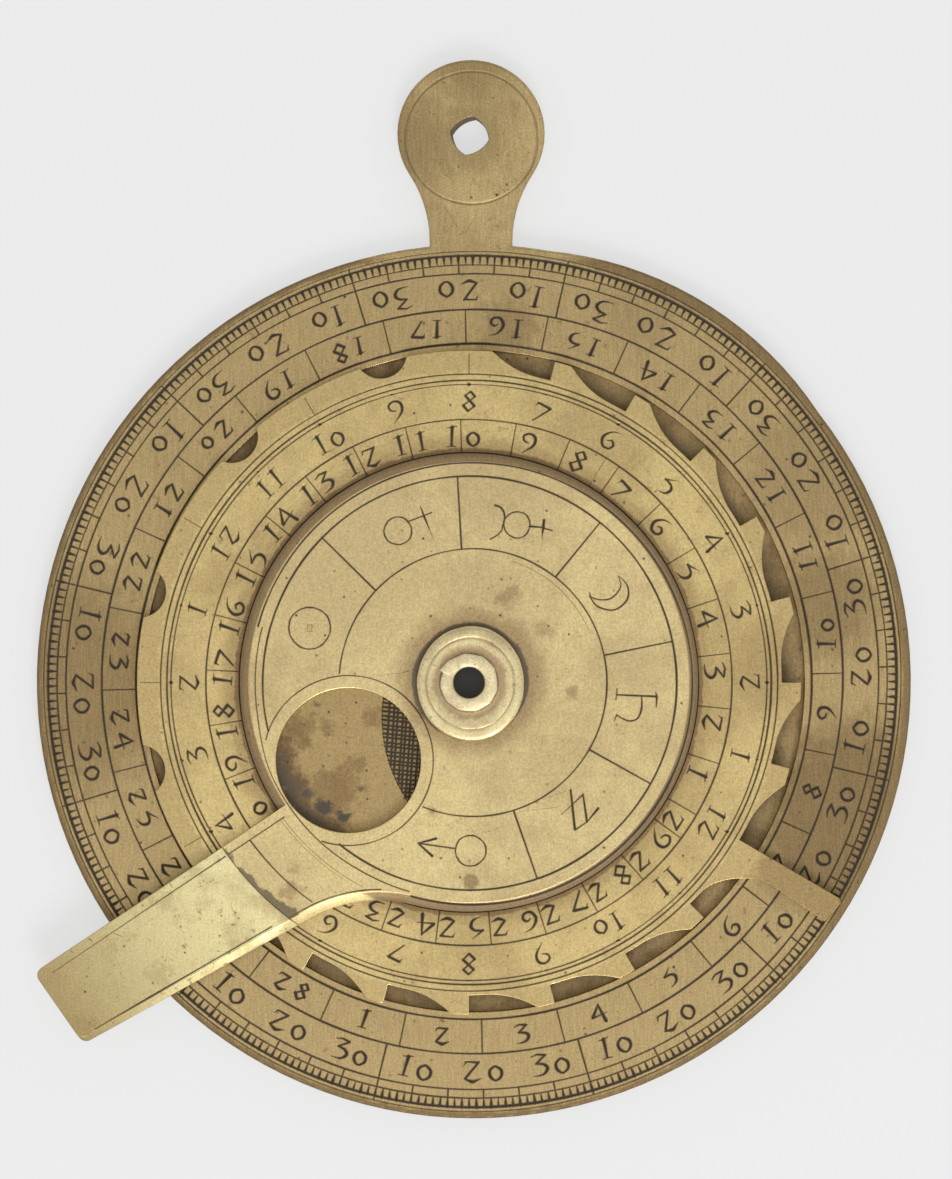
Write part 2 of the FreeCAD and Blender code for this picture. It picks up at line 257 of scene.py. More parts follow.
FIGURES: dict[str, Figure] = {
    "0": Figure(0.62, (
        (True, (0.30, 0.68, 0.9), (0.06, 0.50, 1.1), (0.06, 0.22, 1.2), (0.28, 0.03, 0.9),
         (0.54, 0.20, 1.1), (0.55, 0.48, 1.2), (0.30, 0.68, 0.9)),
    )),
    "1": Figure(0.50, (
        (False, (0.29, 0.93, 1.35), (0.22, 0.06, 0.9)),
        (False, (0.03, 0.90, 0.35), (0.29, 0.92, 0.8), (0.52, 0.96, 0.4)),
        (False, (0.00, 0.03, 0.4), (0.22, 0.05, 0.7), (0.45, 0.02, 0.4)),
    )),
    "2": Figure(0.82, (
        (False, (0.02, 0.70, 0.35), (0.12, 0.88, 0.8)),
        (False, (0.10, 0.90, 0.7), (0.66, 0.88, 1.0)),
        (False, (0.68, 0.90, 0.9), (0.12, 0.17, 1.0)),
        (False, (0.08, 0.15, 0.7), (0.44, 0.03, 1.4)),
        (False, (0.44, 0.03, 1.3), (0.80, 0.20, 0.4)),
    )),
    "3": Figure(0.74, (
        (False, (0.03, 0.88, 0.5), (0.30, 0.97, 0.8), (0.68, 0.90, 1.0)),
        (False, (0.68, 0.90, 0.8), (0.22, 0.56, 0.9)),
        (True, (0.22, 0.56, 0.8), (0.56, 0.50, 1.1), (0.70, 0.30, 1.3), (0.48, 0.06, 0.9),
         (0.04, 0.02, 0.35)),
    )),
    "4": Figure(0.86, (
        (False, (0.54, 0.99, 0.7), (0.06, 0.37, 1.3)),
        (False, (0.04, 0.34, 0.9), (0.88, 0.46, 0.4)),
        (False, (0.52, 0.99, 0.8), (0.70, 0.00, 1.35)),
    )),
    "5": Figure(0.72, (
        (False, (0.64, 1.00, 0.3), (0.14, 0.60, 1.0)),
        (False, (0.12, 0.62, 0.9), (0.52, 0.60, 1.0)),
        (True, (0.50, 0.61, 0.9), (0.68, 0.42, 1.3), (0.58, 0.12, 1.0), (0.20, -0.04, 0.3)),
    )),
    "6": Figure(0.78, (
        (True, (0.74, 1.00, 0.3), (0.32, 0.84, 0.8), (0.06, 0.44, 1.25), (0.24, 0.07, 1.1), (0.58, 0.08, 1.0),
         (0.70, 0.32, 1.1), (0.52, 0.48, 0.9), (0.34, 0.38, 0.6)),
    )),
    "7": Figure(0.76, (
        (False, (0.02, 0.68, 0.3), (0.14, 0.88, 0.9)),
        (False, (0.12, 0.88, 1.1), (0.76, 0.74, 1.2)),
        (False, (0.76, 0.74, 1.0), (0.08, -0.02, 0.7)),
    )),
    "8": Figure(0.74, (
        (False, (0.42, 1.00, 0.8), (0.16, 0.78, 0.8)),
        (False, (0.16, 0.78, 1.1), (0.66, 0.28, 1.2)),
        (False, (0.42, 1.00, 1.0), (0.66, 0.76, 1.1)),
        (False, (0.66, 0.76, 0.8), (0.08, 0.28, 0.8)),
        (False, (0.08, 0.28, 1.2), (0.34, 0.00, 1.1)),
        (False, (0.34, 0.00, 0.9), (0.66, 0.28, 0.8)),
    )),
    "9": Figure(0.76, (
        (True, (0.36, 0.52, 0.6), (0.12, 0.60, 0.9), (0.07, 0.84, 1.0), (0.34, 1.00, 1.0), (0.64, 0.86, 1.25),
         (0.64, 0.44, 1.1), (0.16, -0.06, 0.3)),
    )),
}

# Signs of the wandering stars, in mm about their place: x clockwise, y away from the pivot.

SIGNS: dict[str, tuple[float, tuple]] = {
    "sun": (288.9, (
        (False, (-0.45, 0.38, 1.0), (0.25, 0.62, 0.9), (0.42, 0.08, 1.0), (-0.25, -0.12, 1.0),
         (-0.45, 0.38, 1.0)),
    )),
    "venus": (334.9, (
        (False, (1.42, 0.62, 0.9), (4.35, 0.42, 0.9)),
        (False, (3.50, 1.55, 0.7), (3.40, 0.20, 1.2), (3.33, -1.30, 0.6)),
        (False, (3.33, -1.30, 0.4), (3.30, -2.50, 0.25)),
    )),
    "mercury": (16.9, (
        (True, (-3.05, 1.25, 1.2), (-2.36, 1.20, 1.1), (-1.83, 0.75, 1.1), (-1.55, 0.10, 1.0),
         (-1.58, -0.34, 0.9)),
        (True, (-2.43, -2.60, 0.9), (-1.80, -1.91, 0.9), (-1.50, -1.27, 0.8), (-1.58, -0.60, 0.9)),
        (False, (1.42, 0.10, 1.3), (2.67, 0.37, 1.0), (4.05, 0.37, 0.9)),
        (False, (2.79, 1.28, 1.4), (2.96, 0.43, 1.5), (3.17, -0.85, 0.4)),
    )),
    "moon": (58.3, (
        (True, (-1.50, 1.91, 0.5), (0.10, 2.20, 0.9), (1.45, 1.30, 1.1), (1.62, -0.58, 1.0),
         (0.30, -1.93, 1.0), (-1.05, -2.08, 0.8)),
        (True, (-1.50, 1.91, 0.5), (-0.22, 1.50, 0.8), (0.33, -0.05, 1.0), (-0.20, -1.30, 0.9),
         (-1.05, -2.08, 0.8)),
        (False, (-1.05, -2.08, 1.2), (-1.62, -1.80, 0.4)),
    )),
    "saturn": (99.6, (
        (False, (-1.45, -2.15, 1.0), (-2.02, 2.40, 1.2)),
        (False, (-2.15, -2.20, 0.7), (-0.85, -2.12, 0.7)),
        (False, (-2.50, 2.20, 0.5), (-2.02, 2.42, 1.2), (-0.80, 2.55, 0.7)),
        (True, (-1.70, 0.71, 0.8), (-0.46, 0.92, 1.1), (0.75, 0.70, 1.0), (1.25, -0.15, 1.0),
         (1.10, -1.10, 0.9), (0.80, -1.75, 0.8)),
        (False, (0.80, -1.75, 0.9), (1.55, -1.90, 0.5)),
    )),
    "jupiter": (139.3, (
        (False, (-0.81, -2.14, 1.1), (1.73, 1.54, 1.3)),
        (False, (-1.57, -0.87, 1.0), (0.15, 1.85, 1.2)),
        (False, (1.83, -0.69, 0.4), (-1.55, -0.82, 1.0)),
        (False, (1.81, 1.64, 1.0), (0.15, 1.85, 0.8)),
        (False, (0.15, 1.85, 0.8), (-1.84, 1.50, 1.3)),
    )),
    "mars": (188.0, (
        (False, (-1.12, -0.02, 0.9), (3.15, -0.03, 1.0)),
        (False, (3.20, -0.03, 1.0), (1.25, -0.85, 1.4)),
        (False, (3.20, -0.03, 1.0), (1.40, 1.20, 1.4)),
    )),
}
SIGN_RINGS: dict[str, tuple[Point, float]] = {
    "sun": ((0.0, 0.25), 2.38),
    "venus": ((0.0, 0.15), 1.58),
    "mercury": ((0.0, -0.15), 1.5),
    "mars": ((-2.85, -0.02), 1.75),
}
SIGN_RADIUS = 19.0
SIGN_PEN = 0.15


class Tops(Enum):
    """Which way the tops of a ring's figures point."""

    OUTWARD = 1
    INWARD = -1


@dataclass(frozen=True)
class Lettering:
    """Hand that writes the figures of one ring."""

    height: float
    pen: float
    tops: Tops
    seed: int
    centre: Point = (0.0, 0.0)
    gap: float = 0.16

    def write(self, text: str, radius: float, angle: float) -> list[Cut]:
        """Grooves of a number, centred at a radius and a clockwise angle.

        Args:
            text: the figures.
            radius: of the middle of their height, in mm.
            angle: clockwise angle of the middle of the number.

        Returns:
            One groove for each stroke.
        """
        hand = random.Random(f"{self.seed} {text} {angle:.1f}")
        width = sum(FIGURES[c].advance for c in text) + self.gap * (len(text) - 1)
        start = -width / 2
        out: list[Cut] = []
        for c in text:
            figure = FIGURES[c]
            size = self.height * hand.uniform(0.95, 1.06)
            lean = math.radians(hand.uniform(-3.5, 3.5))
            lift = hand.uniform(-0.03, 0.03)
            for curved, *points in figure.strokes:
                path = smooth_line(points) if curved else points
                spots = []
                for x, y, _ in path:
                    across = (start + x) * size
                    along = (y - 0.5 + lift) * size
                    spots.append(self.place(
                        across * math.cos(lean) + along * math.sin(lean),
                        along * math.cos(lean) - across * math.sin(lean),
                        radius,
                        angle,
                    ))
                widths = tuple(max(self.pen * p[2], 0.035) for p in path)
                out.append(Cut(tuple(spots), widths))
            start += figure.advance + self.gap
        return out

    def place(self, across: float, up: float, radius: float, angle: float) -> Point:
        """Point of a figure on the dial, from its own plane."""
        turn = self.tops.value * math.degrees(across / radius)
        return polar(radius + self.tops.value * up, angle + turn, self.centre)


# Cutting the grooves into a piece

def select_only(piece: bpy.types.Object) -> None:
    """Makes a piece the one active and selected object.

    Args:
        piece: the piece that is worked on.
    """
    bpy.ops.object.select_all(action="DESELECT")
    piece.hide_set(False)
    piece.select_set(True)
    bpy.context.view_layer.objects.active = piece


def edit(piece: bpy.types.Object, *steps: Callable[[], object]) -> None:
    """Runs edit mode operators on a whole piece.

    Args:
        piece: the piece that is worked on.
        steps: the operators, in order.
    """
    select_only(piece)
    bpy.ops.object.mode_set(mode="EDIT")
    bpy.ops.mesh.select_all(action="SELECT")
    for step in steps:
        step()
    bpy.ops.object.mode_set(mode="OBJECT")


def apply_modifier(piece: bpy.types.Object, kind: str, **settings: object) -> None:
    """Adds a modifier with its settings and applies it.

    Args:
        piece: the piece that is worked on.
        kind: Blender's name of the modifier's type.
        settings: the modifier's own settings.
    """
    select_only(piece)
    modifier = piece.modifiers.new(kind.lower(), kind)
    for name, value in settings.items():
        setattr(modifier, name, value)
    bpy.ops.object.modifier_apply(modifier=modifier.name)


def smooth_by_angle(piece: bpy.types.Object, degrees: float) -> None:
    """Smooth shading, sharp where faces meet at more than an angle."""
    select_only(piece)
    bpy.ops.object.shade_smooth_by_angle(angle=math.radians(degrees))


def crisp_top(piece: bpy.types.Object) -> None:
    """Marks as sharp every edge between the flat top and what isn't flat, so grooves don't shade it.

    Args:
        piece: the piece that is worked on.
    """
    mesh = bmesh.new()
    mesh.from_mesh(piece.data)
    for edge in mesh.edges:
        flat = [f.normal.z > FLAT_NORMAL for f in edge.link_faces]
        if len(flat) == 2 and flat[0] != flat[1]:
            edge.smooth = False
    mesh.to_mesh(piece.data)
    mesh.free()


def ease_edges(
    piece: bpy.types.Object, width: float, chosen: Callable[[Vector], bool], segments: int = 3
) -> None:
    """Rounds some sharp outer edges.

    Args:
        piece: what they are on.
        width: of the rounding, in mm.
        chosen: whether an edge is rounded, from the middle of the edge in mm.
        segments: steps of the rounding.
    """
    select_only(piece)
    bpy.ops.object.mode_set(mode="EDIT")
    bpy.ops.mesh.select_all(action="DESELECT")
    bpy.ops.mesh.select_mode(type="EDGE")
    mesh = bmesh.from_edit_mesh(piece.data)
    for edge in mesh.edges:
        middle = (edge.verts[0].co + edge.verts[1].co) / (2 * MM)
        sharp = edge.is_convex and edge.calc_face_angle(0.0) > math.radians(SHARP_DEGREES)
        if sharp and chosen(middle):
            edge.select_set(True)
    bmesh.update_edit_mesh(piece.data)
    bpy.ops.mesh.bevel(offset=width * MM, segments=segments, affect="EDGES", clamp_overlap=True)
    bpy.ops.object.mode_set(mode="OBJECT")


def blank_of(node: str, name: str, easing: float, angle: float = 35.0) -> bpy.types.Object:
    """Copy of a CAD solid as a clean mesh, its sharp edges eased as by years of handling.

    Args:
        node: CAD node that the blank is copied from.
        name: of the new piece.
        easing: width of the eased edges, in mm.
        angle: edges sharper than this are eased.

    Returns:
        The blank.
    """
    piece = bpy.data.objects.new(name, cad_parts[node].data.copy())
    piece.data.name = name
    bpy.context.scene.collection.objects.link(piece)
    piece.data.materials.clear()
    edit(
        piece,
        lambda: bpy.ops.mesh.customdata_custom_splitnormals_clear(),
        lambda: bpy.ops.mesh.remove_doubles(threshold=MERGE_MM * MM),
        lambda: bpy.ops.mesh.dissolve_limited(angle_limit=math.radians(COPLANAR_DEGREES)),
    )
    if easing:
        limit = {"limit_method": "ANGLE", "angle_limit": math.radians(angle)}
        apply_modifier(piece, "BEVEL", width=easing * MM, segments=2, **limit)
    return piece


class Graver:
    """Cuts grooves into the upper side of a blank.

    The upper faces are taken off and laid again as a sheet whose edges follow every groove, so each
    groove is a real V in the mesh and the piece stays closed.
    """

    nearness: float = 1e-4

    def __init__(self, piece: bpy.types.Object, lowest_normal: float = 0.999, level: float = 0.0):
        """Notes which faces are the upper side.

        Args:
            piece: the blank.
            lowest_normal: faces whose normal rises less than this are left alone.
            level: faces below this height, in mm, are left alone.
        """
        self.piece = piece
        self.lowest_normal = lowest_normal
        self.level = level
        self.cuts: list[Cut] = []

    def add(self, *groups: list[Cut]) -> None:
        """Takes in more grooves."""
        self.cuts.extend(cut for group in groups for cut in group)

    def engrave(self, shading: float) -> bpy.types.Object:
        """Lays the engraved sheet, joins it to the rest of the blank and shades the piece.

        Args:
            shading: faces that meet at more than this many degrees keep a sharp edge.

        Returns:
            The engraved piece.
        """
        mesh = bmesh.new()
        mesh.from_mesh(self.piece.data)
        mesh.faces.ensure_lookup_table()
        upper = [
            f for f in mesh.faces
            if f.normal.z > self.lowest_normal and f.calc_center_median().z > self.level * MM
        ]
        chosen = set(upper)
        edges = {e for f in upper for e in f.edges}
        rim = {e for e in edges if len([f for f in e.link_faces if f in chosen]) == 1}
        creases = {e for e in edges - rim if e.calc_face_angle(0.0) > math.radians(CREASE_DEGREES)}
        kept = sorted(rim | creases, key=lambda e: e.index)
        held = {v for e in rim for v in e.verts}
        corners = sorted({v for e in kept for v in e.verts}, key=lambda v: (v not in held, v.index))
        row = {v: i for i, v in enumerate(corners)}
        spots = [(v.co.x / MM, v.co.y / MM) for v in corners]
        heights = [v.co.z for v in corners]
        lines = [(row[e.verts[0]], row[e.verts[1]]) for e in kept]
        sheet = bmesh.new()
        sheet.from_mesh(self.piece.data)
        sheet.faces.ensure_lookup_table()
        low_faces = [sheet.faces[f.index] for f in mesh.faces if f not in chosen]
        bmesh.ops.delete(sheet, geom=low_faces, context="FACES")
        upper_tree = BVHTree.FromBMesh(sheet)
        sheet.free()
        for cut in self.cuts:
            self.outline(cut, spots, lines)
        made = self.lay(spots, lines, heights, len(held), upper_tree)
        bmesh.ops.delete(mesh, geom=upper, context="FACES")
        mesh.to_mesh(self.piece.data)
        mesh.free()
        self.piece.data.attributes.new(DEPTH_ATTRIBUTE, "FLOAT", "POINT")
        select_only(self.piece)
        made.select_set(True)
        bpy.ops.object.join()
        edit(
            self.piece,
            lambda: bpy.ops.mesh.remove_doubles(threshold=SEAM_MM * MM),
            lambda: bpy.ops.mesh.dissolve_degenerate(threshold=SLIVER_MM * MM),
            lambda: bpy.ops.mesh.normals_make_consistent(inside=False),
        )
        smooth_by_angle(self.piece, shading)
        crisp_top(self.piece)
        return self.piece

    @staticmethod
    def outline(cut: Cut, spots: list[Point], lines: list[tuple[int, int]]) -> None:
        """Adds a groove's two sides and its centreline to the sheet's lines.

        Args:
            cut: the groove.
            spots: points of the sheet, which grow by the groove's.
            lines: pairs of points, which grow by the groove's.
        """
        count = len(cut.points)
        first = len(spots)
        left: list[Point] = []
        right: list[Point] = []
        for i, (x, y) in enumerate(cut.points):
            before = cut.points[i - 1 if i or cut.closed else 0]
            after = cut.points[(i + 1) % count if i + 1 < count or cut.closed else i]
            dx, dy = after[0] - before[0], after[1] - before[1]
            length = math.hypot(dx, dy) or 1.0
            nx, ny = -dy / length * cut.half_widths[i], dx / length * cut.half_widths[i]
            left.append((x + nx, y + ny))
            right.append((x - nx, y - ny))
        spots.extend(cut.points)
        spots.extend(left)
        spots.extend(right)
        for i in range(count if cut.closed else count - 1):
            following = (i + 1) % count
            for side in range(3):
                lines.append((first + side * count + i, first + side * count + following))
        if cut.closed:
            return
        for end, inner in ((0, 1), (count - 1, count - 2)):
            x, y = cut.points[end]
            dx, dy = x - cut.points[inner][0], y - cut.points[inner][1]
            length = math.hypot(dx, dy) or 1.0
            reach = cut.half_widths[end]
            tip = len(spots)
            spots.append((x + dx / length * reach, y + dy / length * reach))
            lines.append((first + count + end, tip))
            lines.append((first + 2 * count + end, tip))
            lines.append((first + end, tip))

    def lay(
        self,
        spots: list[Point],
        lines: list[tuple[int, int]],
        heights: list[float],
        held: int,
        upper_tree: BVHTree,
    ) -> bpy.types.Object:
        """Makes the sheet.

        Args:
            spots: its points, those of the old faces' edges first.
            lines: pairs of points that stay joined by an edge.
            heights: of the first points, in metres.
            held: how many of those lie on the sheet's own edge and are never cut into.
            upper_tree: the faces that the sheet takes the place of.

        Returns:
            The sheet as an object of its own.
        """
        flat = [Vector(s) for s in spots]
        points, _, faces, sources, _, _ = delaunay_2d_cdt(flat, lines, [], 0, self.nearness, True)
        plane = np.array([(p.x, p.y) for p in points])
        depth = self.depths(plane)
        above = 20 * MM
        down = Vector((0, 0, -1))
        base = []
        for (x, y), origin in zip(plane, sources):
            own = [i for i in origin if i < len(heights)]
            if own:
                base.append((heights[own[0]], own[0] < held))
                continue
            hit, _, _, _ = upper_tree.ray_cast(Vector((x * MM, y * MM, above)), down)
            base.append((hit.z if hit else heights[0], False))
        kept = []
        for face in faces:
            x, y = plane[list(face)].mean(0)
            if upper_tree.ray_cast(Vector((x * MM, y * MM, above)), down)[0]:
                kept.append(face)
        used = sorted({i for face in kept for i in face})
        row = {v: i for i, v in enumerate(used)}
        mesh = bpy.data.meshes.new("sheet")
        places = []
        marks = []
        for i in used:
            height, fixed = base[i]
            cut = 0.0 if fixed else float(depth[i])
            places.append((plane[i][0] * MM, plane[i][1] * MM, height - cut * MM))
            marks.append(cut)
        mesh.from_pydata(places, [], [[row[i] for i in face] for face in kept])
        mesh.attributes.new(DEPTH_ATTRIBUTE, "FLOAT", "POINT").data.foreach_set("value", marks)
        mesh.update()
        made = bpy.data.objects.new("sheet", mesh)
        bpy.context.scene.collection.objects.link(made)
        return made

    def depths(self, plane: np.ndarray) -> np.ndarray:
        """Depth of the deepest groove at each point, in mm.

        Args:
            plane: points of the sheet, in mm.

        Returns:
            The depths, 0 outside every groove.
        """
        deepest = np.zeros(len(plane))
        for cut in self.cuts:
            ends = list(cut.points) + ([cut.points[0]] if cut.closed else [])
            widths = list(cut.half_widths) + ([cut.half_widths[0]] if cut.closed else [])
            last = len(ends) - 2
            for i, (a, b, wa, wb) in enumerate(zip(ends, ends[1:], widths, widths[1:])):
                reach = max(wa, wb)
                near = (
                    (plane[:, 0] > min(a[0], b[0]) - reach) & (plane[:, 0] < max(a[0], b[0]) + reach)
                    & (plane[:, 1] > min(a[1], b[1]) - reach) & (plane[:, 1] < max(a[1], b[1]) + reach)
                )
                rows = np.nonzero(near)[0]
                if not len(rows):
                    continue
                spots = plane[rows]
                along = np.array(b) - np.array(a)
                raw = (spots - a) @ along / max(along @ along, 1e-12)
                share = np.clip(raw, 0, 1)
                foot = np.array(a) + share[:, None] * along
                off = np.hypot(*(spots - foot).T)
                beyond = np.abs(raw - share) * np.linalg.norm(along)
                pointed = ((raw < 0) & (i == 0)) | ((raw > 1) & (i == last))
                if pointed.any() and not cut.closed:
                    aside = np.sqrt(np.maximum(off ** 2 - beyond ** 2, 0))
                    off = np.where(pointed, aside + beyond, off)
                here = cut.steepness * (wa + (wb - wa) * share - off)
                deepest[rows] = np.maximum(deepest[rows], here)
        return deepest


# Materials

Socket = bpy.types.NodeSocket
Adder = Callable[..., Socket]

MATH = "ShaderNodeMath"
VECTOR_MATH = "ShaderNodeVectorMath"
NOISE = "ShaderNodeTexNoise"
RANGE = "ShaderNodeMapRange"
MIX = "ShaderNodeMix"
SMOOTH = {"interpolation_type": "SMOOTHSTEP"}
COLOUR = {"data_type": "RGBA", "output": 2}


def add_node(
    tree: bpy.types.NodeTree,
    kind: str,
    inputs: dict[object, object] | Sequence[object] = (),
    output: int | str = 0,
    **settings: object,
) -> Optional[Socket]:
    """Adds a node with its settings, values and links.

    Args:
        tree: node tree that it goes in.
        kind: Blender's name of the node's type.
        inputs: values, or output sockets to link, by the socket's name or in the sockets' order.
        output: which of its output sockets is handed back.
        settings: the node's own settings.

    Returns:
        The output socket, or nothing for a node that has none.
    """
    node = tree.nodes.new(kind)
    for name, value in settings.items():
        setattr(node, name, value)
    for name, value in inputs.items() if isinstance(inputs, dict) else enumerate(inputs):
        socket = node.inputs[name]
        if isinstance(value, bpy.types.NodeSocket):
            tree.links.new(value, socket)
        else:
            socket.default_value = value
    return node.outputs[output] if node.outputs else None


def empty_tree(owner: bpy.types.Material | bpy.types.World) -> Adder:
    """Clears the nodes of a material or world, and gives the function that adds nodes to it.

    Args:
        owner: the material or the world.

    Returns:
        The function, which add_node's other arguments are given to.
    """
    owner.use_nodes = True
    owner.node_tree.nodes.clear()
    return partial(add_node, owner.node_tree)


def lumps(size_mm: float) -> float:
    """Scale of a pattern whose largest lumps have a real size."""
    return 1 / (size_mm * MM)


@dataclass(frozen=True)
class Limit:
    """Bound of a patch along one axis: where it is gone and where it is full, in mm."""

    axis: str
    gone: float
    full: float


@dataclass(frozen=True)
class Patch:
    """Patch or ring about a point that tarnishes, darkens or pits the metal, some of it painted shade, ragged
    at its edges, all in mm.
    """

    x: float
    y: float
    outer: float
    strength: float
    inner: float = 0.0
    soft: float = 0.6
    ragged: float = 0.5
    limit: Optional[Limit] = None

    def mask(self, add: Adder, place: Socket, smudge: Socket) -> Socket:
        """How much of the patch is at each point.

        Args:
            add: adds a node to the material.
            place: Object coordinates.
            smudge: noise that makes its edges ragged.

        Returns:
            The patch's strength inside, and 0 outside.
        """
        away = add(VECTOR_MATH, (place, (self.x * MM, self.y * MM, 0)), operation="SUBTRACT")
        level = add(VECTOR_MATH, (away, (1, 1, 0)), operation="MULTIPLY")
        reach = add(VECTOR_MATH, (level,), "Value", operation="LENGTH")
        ragged = add(MATH, (smudge, 0.5), operation="SUBTRACT")
        ragged = add(MATH, (ragged, 4 * self.ragged * MM), operation="MULTIPLY")
        reach = add(MATH, (reach, ragged), operation="ADD")
        soft = self.soft * MM
        outer, inner = self.outer * MM, self.inner * MM
        mask = add(RANGE, (reach, outer - soft, outer + soft, self.strength, 0.0), **SMOOTH)
        if self.limit:
            along = add("ShaderNodeSeparateXYZ", (place,), self.limit.axis)
            gone, full = self.limit.gone * MM, self.limit.full * MM
            within = add(RANGE, (along, gone, full, 0.0, 1.0), **SMOOTH)
            mask = add(MATH, (mask, within), operation="MULTIPLY")
        if self.inner:
            within = add(RANGE, (reach, inner - soft, inner + soft, 0.0, 1.0), **SMOOTH)
            mask = add(MATH, (mask, within), operation="MULTIPLY")
        return mask


@dataclass(frozen=True)
class Fade:
    """Tarnish that grows evenly from one point to another, in mm."""

    start: Point
    end: Point
    strength: float


@dataclass(frozen=True)
class AgedBrass:
    """Hammered brass sheet, scraped and burnished flat, tarnished by centuries of handling.

    Gives the eye a soft yellow metal without mirror gloss, browner where the fingers don't rub, with
    fine scraper marks, small pits, cloudy smudges and near black wax and dirt in every engraved line.
    Some of the patches that darken a piece are painted shade.
    """

    name: str
    worn: str
    brown: str
    dirt: str = "#30271f"
    soot_colour: str = "#4b433d"
    roughness: float = 0.4
    cloud_mm: float = 9.0
    cloud_share: float = 0.45
    grain_mm: float = 0.22
    grain_strength: float = 0.17
    brush_strength: float = 0.1
    brush_turn: float = 20.0
    pit_mm: float = 1.1
    pit_share: float = 0.14
    speck_mm: float = 0.8
    speck_share: float = 0.3
    blow_mm: float = 5.0
    blow_height: float = 7.0
    bump: float = 0.3
    bump_mm: float = 0.02
    fine_pits: float = 2.6
    groove_mm: float = 0.11
    tarnish: tuple[Patch, ...] = ()
    soot: tuple[Patch, ...] = ()
    pitted: tuple[Patch, ...] = ()
    fade: Optional[Fade] = None

    def build(self) -> bpy.types.Material:
        """Makes the material.

        Returns:
            The material.
        """
        material = bpy.data.materials.new(self.name)
        add = empty_tree(material)
        place = add("ShaderNodeTexCoord", output="Object")
        fine_cloud = self.cloud_mm / 4
        smudge = add(NOISE, {"Vector": place, "Scale": lumps(fine_cloud), "Detail": 6, "Roughness": 0.7})
        grain = add(NOISE, {"Vector": place, "Scale": lumps(self.grain_mm), "Detail": 2, "Roughness": 0.6})
        brushed = self.brushing(add, place)
        brown = self.browning(add, place, smudge)
        soot = self.gathered(add, place, smudge, self.soot)
        pits = self.all_pits(add, place, smudge)
        dark = add(MATH, (self.groove(add), pits), operation="MAXIMUM")
        matt = add(MATH, (dark, soot), operation="MAXIMUM") if soot else dark
        colour = self.colour(add, grain, brushed, brown, soot)
        colour = add(MIX, {"Factor": dark, "A": colour, "B": linear(self.dirt)}, **COLOUR)
        dull = add(MATH, (matt, brown), operation="MAXIMUM")
        roughest = min(self.roughness + 0.25, 0.95)
        shader = add("ShaderNodeBsdfPrincipled", {
            "Base Color": colour,
            "Metallic": add(RANGE, (matt, 0.0, 1.0, 1.0, 0.2), **SMOOTH),
            "Roughness": add(RANGE, (dull, 0.0, 1.0, self.roughness, roughest), **SMOOTH),
            "Normal": self.relief(add, place, grain, pits, brushed),
        })
        add("ShaderNodeOutputMaterial", {"Surface": shader})
        return material

    def colour(
        self, add: Adder, grain: Socket, brushed: Socket, brown: Socket, soot: Optional[Socket]
    ) -> Socket:
        """Colour of the metal without its grooves: worn or brown, grained, brushed, and darkened by sooty
        patches and painted shade.

        Args:
            add: adds a node to the material.
            grain: fine noise of the surface.
            brushed: noise of the scraper's marks.
            brown: how brown the metal is.
            soot: how much it is darkened by sooty patches and painted shade, where it has any.

        Returns:
            The colour.
        """
        colour = add(MIX, {"Factor": brown, "A": linear(self.worn), "B": linear(self.brown)}, **COLOUR)
        grained = add(RANGE, (grain, 0.25, 0.75, 1 - self.grain_strength, 1 + self.grain_strength), **SMOOTH)
        streaks = add(RANGE, (brushed, 0.3, 0.7, 1 - self.brush_strength, 1 + self.brush_strength), **SMOOTH)
        shade = add(MATH, (grained, streaks), operation="MULTIPLY")
        colour = add(VECTOR_MATH, {0: colour, "Scale": shade}, operation="SCALE")
        if soot:
            colour = add(MIX, {"Factor": soot, "A": colour, "B": linear(self.soot_colour)}, **COLOUR)
        return colour

    def groove(self, add: Adder) -> Socket:
        """How much wax and dirt fills the grooves, from their depth; in the sight tube's bore the same mark
        is dirt and painted shade.

        Args:
            add: adds a node to the material.

        Returns:
            0 on the flat, and nearly 1 in a deep groove.
        """
        depth = add("ShaderNodeAttribute", output="Fac", attribute_name=DEPTH_ATTRIBUTE)
        filled = add(RANGE, (depth, -0.01, self.groove_mm, 0.0, 0.95), **SMOOTH)
        inside = add(MATH, (depth, 0.001), operation="GREATER_THAN")
        return add(MATH, (filled, inside), operation="MULTIPLY")

    def relief(self, add: Adder, place: Socket, grain: Socket, pits: Socket, brushed: Socket) -> Socket:
        """Normal of the surface: grain, scraper marks, pits and the hammer's shallow blows.

        Args:
            add: adds a node to the material.
            place: Object coordinates.
            grain: fine noise of the surface.
            pits: how deep the pits are.
            brushed: noise of the scraper's marks.

        Returns:
            The normal.
        """
        blows = add(NOISE, {"Vector": place, "Scale": lumps(self.blow_mm), "Detail": 1, "Roughness": 0.4})
        blows = add(MATH, (blows, self.blow_height), operation="MULTIPLY")
        streaks = add(MATH, (brushed, 0.6), operation="MULTIPLY")
        height = add(MATH, (grain, pits), operation="SUBTRACT")
        for more in (streaks, blows):
            height = add(MATH, (height, more), operation="ADD")
        raised = {"Strength": self.bump, "Distance": self.bump_mm * MM, "Height": height}
        return add("ShaderNodeBump", raised)

    def brushing(self, add: Adder, place: Socket) -> Socket:
        """Marks of the scraper: noise drawn out along one direction.

        Args:
            add: adds a node to the material.
            place: Object coordinates.

        Returns:
            The noise.
        """
        along = (0, 0, math.radians(self.brush_turn))
        turned = add("ShaderNodeMapping", {"Vector": place, "Rotation": along, "Scale": (9, 0.8, 1)})
        return add(NOISE, {"Vector": turned, "Scale": lumps(1.6), "Detail": 3, "Roughness": 0.6})

